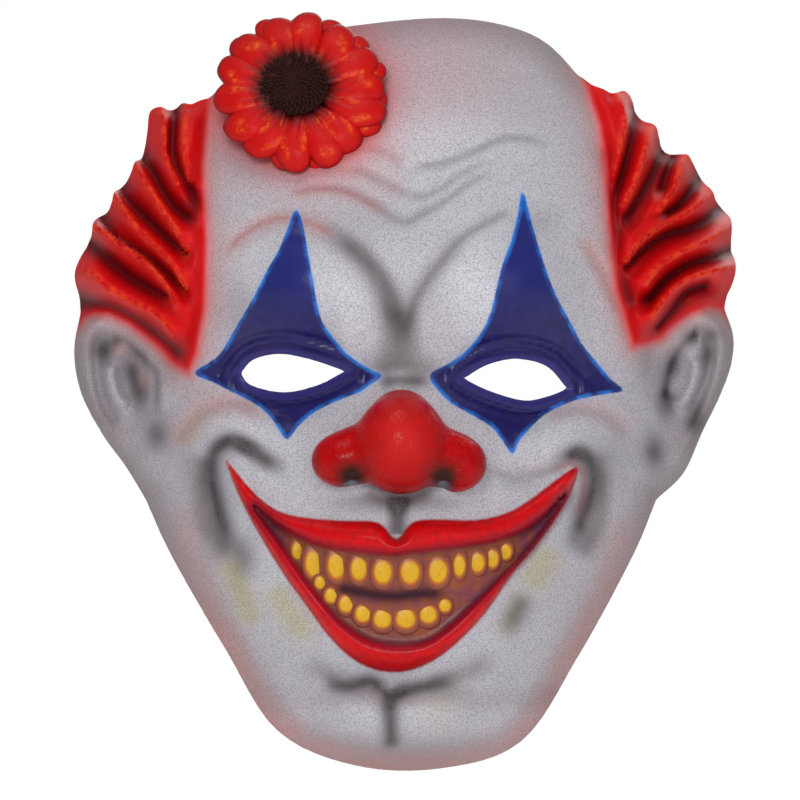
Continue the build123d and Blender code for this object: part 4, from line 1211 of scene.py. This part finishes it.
def flower_heart():
    """A low dark cushion covered with short stalks that lean out from its middle."""
    dome, faces = pebble((0, 0, 0), (10.5, 1, 10.5), 2.0, 20, 48)
    x, slope, z = heart_place(dome[:, 0], dome[:, 2])
    cushion = np.column_stack([x, slope - 3.6 + dome[:, 1] * np.where(dome[:, 1] < 0, 1.6, 6.0), z])
    s = Shade("flower_heart_paint")
    tone = s.mix(s.noise(1.4, 3.0, 0.7), paint(24, 12, 10), paint(58, 26, 18))
    tone = s.mix(s.step(s.noise(0.9, 3.0, 0.7, seed=3.0), 0.66, 0.8, 0.0, 0.3), tone, paint(150, 90, 70))
    material = s.finish(Base_Color=tone, Roughness=0.85, Specular_IOR_Level=0.1)
    k = np.arange(STALKS)
    far, turn = 9.6 * np.sqrt((k + 0.5) / STALKS), k * GOLDEN_TURN
    x, slope, z = heart_place(far * np.cos(turn), far * np.sin(turn))
    points = np.column_stack([x, slope - 5.0 + 0.3 * np.sin(7.7 * k), z])
    forward = -0.5 - LEAN_ACROSS * np.cos(turn) + LEAN_UP * np.sin(turn)
    outward = np.column_stack([np.cos(turn), forward, np.sin(turn)])
    sizes = [("Stalk width", 0.5), ("Stalk length", 1.25)]
    stalks = grown_on("flower_stalks", points, outward, sizes, 11, material)
    for thing in (add_mesh("flower_heart", cushion, faces, [material]), stalks):
        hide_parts("flower")
        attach(thing, "mask")


flower()
flower_heart()

# ------------------------------------------------------------------ strap

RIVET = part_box("left_rivet")
RIVET_BACK = (RIVET[0][1] + RIVET[1][1]) / 2 / MM
STRAP_WIDE = 15.0
STRAP_WALL = 1.2


def filleted(points, radii):
    """A line with rounded corners, as closely spaced points."""
    p = [np.array(q, float) for q in points]
    run = [p[0]]
    for before, corner, after, radius in zip(p, p[1:], p[2:], radii):
        a, b = before - corner, after - corner
        a, b = a / np.linalg.norm(a), b / np.linalg.norm(b)
        bend = math.acos(np.clip(a @ b, -1, 1))
        reach = radius / math.tan(bend / 2)
        start, end = corner + a * reach, corner + b * reach
        middle = corner + (a + b) / np.linalg.norm(a + b) * radius / math.sin(bend / 2)
        u, v = start - middle, end - middle
        turn = math.atan2(u[0] * v[1] - u[1] * v[0], u @ v)
        for t in np.linspace(0, 1, max(4, int(abs(turn) * radius / 0.9) + 2)):
            c, d = math.cos(turn * t), math.sin(turn * t)
            run.append(middle + np.array([u[0] * c - u[1] * d, u[0] * d + u[1] * c]))
    run.append(p[-1])
    dense = [run[0]]
    for a, b in zip(run, run[1:]):
        count = max(1, int(np.linalg.norm(b - a) / 0.9))
        dense += [a + (b - a) * t / count for t in range(1, count + 1)]
    return np.array(dense)


def webbing(name, node, points, radii):
    """Woven elastic: cords run along it, and it narrows to a bound edge at both sides."""
    line = filleted(points, radii)
    ahead = np.gradient(line, axis=0)
    ahead /= np.linalg.norm(ahead, axis=1)[:, None]
    square = np.column_stack([-ahead[:, 1], ahead[:, 0]])
    share = np.linspace(-1, 1, 45)
    cords = 0.5 + 0.5 * np.cos(share * math.pi * 9)
    profile = STRAP_WALL / 2 * np.minimum(1, ((1 - np.abs(share)) / 0.05 + 0.35)) * (0.86 + 0.14 * cords)
    loop = np.vstack([np.column_stack([share, profile]), np.column_stack([share, -profile])[::-1]])
    n = len(loop)
    points, faces = [], []
    for q, side in zip(line, square):
        flat = q + side * loop[:, 1][:, None]
        points.append(np.column_stack([flat[:, 0], RIVET_BACK + loop[:, 0] * STRAP_WIDE / 2, flat[:, 1]]))
    for r in range(len(line) - 1):
        a, b = r * n, (r + 1) * n
        faces += [[a + i, b + i, b + (i + 1) % n, a + (i + 1) % n] for i in range(n)]
    last = (len(line) - 1) * n
    faces += [list(range(n)), [last + i for i in reversed(range(n))]]
    thing = add_mesh(name, np.vstack(points), faces, [elastic_weave()])
    travel = np.concatenate([[0], np.cumsum(np.linalg.norm(np.diff(line, axis=0), axis=1))])
    write_field(thing, "along", np.repeat(travel, n))
    write_field(thing, "across", np.tile(loop[:, 0] * STRAP_WIDE / 2, len(line)))
    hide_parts(node)
    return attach(thing, "strap")


def elastic_weave():
    """Black woven elastic, made once and shared by both halves."""
    if "elastic_weave" in bpy.data.materials:
        return bpy.data.materials["elastic_weave"]
    s = Shade("elastic_weave")
    weft = s.sum("SINE", s.sum("MULTIPLY", s.field("along"), 2 * math.pi / 0.9))
    warp = s.sum("SINE", s.sum("MULTIPLY", s.field("across"), 2 * math.pi / 0.83))
    knit = s.sum("MULTIPLY", weft, warp)
    tone = s.mix(s.step(knit, -0.7, 0.7), paint(16, 16, 18), paint(46, 46, 50))
    tone = s.mix(s.step(s.noise(0.5, 3.0, 0.7), 0.6, 0.78, 0.0, 0.4), tone, paint(92, 92, 98))
    return s.finish(Base_Color=tone, Roughness=0.85, Normal=s.bump(knit, 0.12), Sheen_Weight=0.25)


# The strap hangs down from the rivets. Its layers by the buckle: over the bars, under them, and the tail
SIDE_RUN = 71.5
LEVEL = -90.0
OVER, UNDER, TAIL = LEVEL + 1.85, LEVEL - 1.85, LEVEL - 3.3
webbing(
    "strap_left_webbing", "strap_left_half",
    [(-SIDE_RUN, 13), (-SIDE_RUN, -8), (-40, OVER), (-14.95, OVER), (-14.95, UNDER), (-26.2, UNDER)],
    [40, 14, 1.1, 1.1],
)
webbing(
    "strap_right_webbing", "strap_right_half",
    [(SIDE_RUN, 13), (SIDE_RUN, -8), (40, UNDER), (-0.4, UNDER), (-6.4, OVER),
     (-9.6, OVER), (-12.4, LEVEL - 1.2), (-10.2, TAIL), (30, TAIL)],
    [40, 14, 1.2, 1.0, 1.0, 1.2, 1.0],
)

# ------------------------------------------------------------------ tabs, rivets, buckle and keeper

def hardware():
    """Materials for the pieces that are shown as designed: tabs, rivets, washers, buckle, keeper and stitches."""
    s = Shade("tab_rubber")
    tone = s.mix(s.noise(6.0, 3.0), paint(206, 184, 142), paint(226, 208, 170))
    tab = s.finish(Base_Color=tone, Roughness=0.6, Normal=s.bump(s.noise(0.8, 3.0), 0.1))
    s = Shade("rivet_nickel")
    tone = s.mix(s.noise(1.5, 4.0, 0.7), paint(176, 172, 164), paint(206, 204, 198))
    worn = s.step(s.noise(0.7, 3.0, seed=2.0), 0.3, 0.7, 0.22, 0.42)
    nickel = s.finish(Base_Color=tone, Metallic=1.0, Roughness=worn)
    s = Shade("buckle_moulding")
    tone = s.mix(s.noise(3.0, 3.0), paint(20, 20, 22), paint(34, 34, 37))
    black = s.finish(Base_Color=tone, Roughness=0.42, Normal=s.bump(s.noise(0.35, 2.0), 0.04))
    s = Shade("tack_thread")
    tone = s.mix(s.noise(0.6, 2.0), paint(22, 22, 24), paint(60, 60, 64))
    thread = s.finish(Base_Color=tone, Roughness=0.8)
    for names, material in (
        (("left_strap_tab", "right_strap_tab"), tab), (("strap_buckle", "strap_keeper"), black),
        (("left_rivet", "right_rivet", "left_washer", "right_washer"), nickel), (("strap_stitches",), thread),
    ):
        for name in names:
            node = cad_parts[name]
            node.data.materials.clear()
            node.data.materials.append(material)


hardware()

# ------------------------------------------------------------------ light, floor and camera

def studio():
    """Four soft lamps, and a world that lights gently but looks white to the camera."""
    world = bpy.data.worlds.new("studio")
    world.use_nodes = True
    nodes, links = world.node_tree.nodes, world.node_tree.links
    nodes["Background"].inputs["Color"].default_value = (0.96, 0.97, 1.0, 1)
    nodes["Background"].inputs["Strength"].default_value = 0.3
    seen = nodes.new("ShaderNodeBackground")
    seen.inputs["Color"].default_value = (1, 1, 1, 1)
    either = nodes.new("ShaderNodeMixShader")
    links.new(nodes.new("ShaderNodeLightPath").outputs["Is Camera Ray"], either.inputs[0])
    links.new(nodes["Background"].outputs[0], either.inputs[1])
    links.new(seen.outputs[0], either.inputs[2])
    links.new(either.outputs[0], nodes["World Output"].inputs["Surface"])
    bpy.context.scene.world = world
    for name, place, size, watts in (
        ("key_light", (-0.28, -1.75, 0.55), 0.5, 15.5), ("fill_light", (1.1, -1.3, 0.25), 1.1, 4.0),
        ("top_light", (-0.2, -0.3, 1.5), 0.9, 7.0), ("back_light", (0.3, 1.3, 0.6), 1.0, 8.0),
    ):
        lamp = bpy.data.lights.new(name, "AREA")
        lamp.size = size
        lamp.energy = watts
        thing = bpy.data.objects.new(name, lamp)
        bpy.context.collection.objects.link(thing)
        thing.location = place
        thing.rotation_euler = (-thing.location).to_track_quat("-Z", "Y").to_euler()


FLOOR_HEIGHT = -330
FLOOR_REACH = 4000


def plain_sheet(name, corners, colour, glow):
    """A flat sheet of the set, which glows a little so it stays light far off."""
    s = Shade(name)
    tone = s.mix(s.noise(60.0), colour, tuple(0.985 * c for c in colour))
    material = s.finish(Base_Color=tone, Roughness=0.9, Emission_Color=tone, Emission_Strength=glow)
    sheet = add_mesh(name, np.array(corners), [[0, 1, 2, 3]], [material], smooth=False)


CAMERA_PLACE = (-0.0009, -8.0, -0.0072)  # metres
CAMERA_LENS = 1208


def camera_in_front():
    """A far camera with a long lens, level with the face."""
    lens = bpy.data.cameras.new("camera")
    lens.sensor_width = 36
    lens.lens = CAMERA_LENS
    lens.clip_end = 50
    thing = bpy.data.objects.new("camera", lens)
    bpy.context.collection.objects.link(thing)
    thing.location = CAMERA_PLACE
    thing.rotation_euler = (math.pi / 2, 0, 0)
    bpy.context.scene.camera = thing


studio()
floor_corners = [(a * FLOOR_REACH, b * FLOOR_REACH, FLOOR_HEIGHT) for a, b in ((-1, -1), (1, -1), (1, 1), (-1, 1))]
plain_sheet("floor", floor_corners, (0.78, 0.78, 0.79), 0.4)
camera_in_front()
bpy.context.scene.view_settings.view_transform = "Standard"
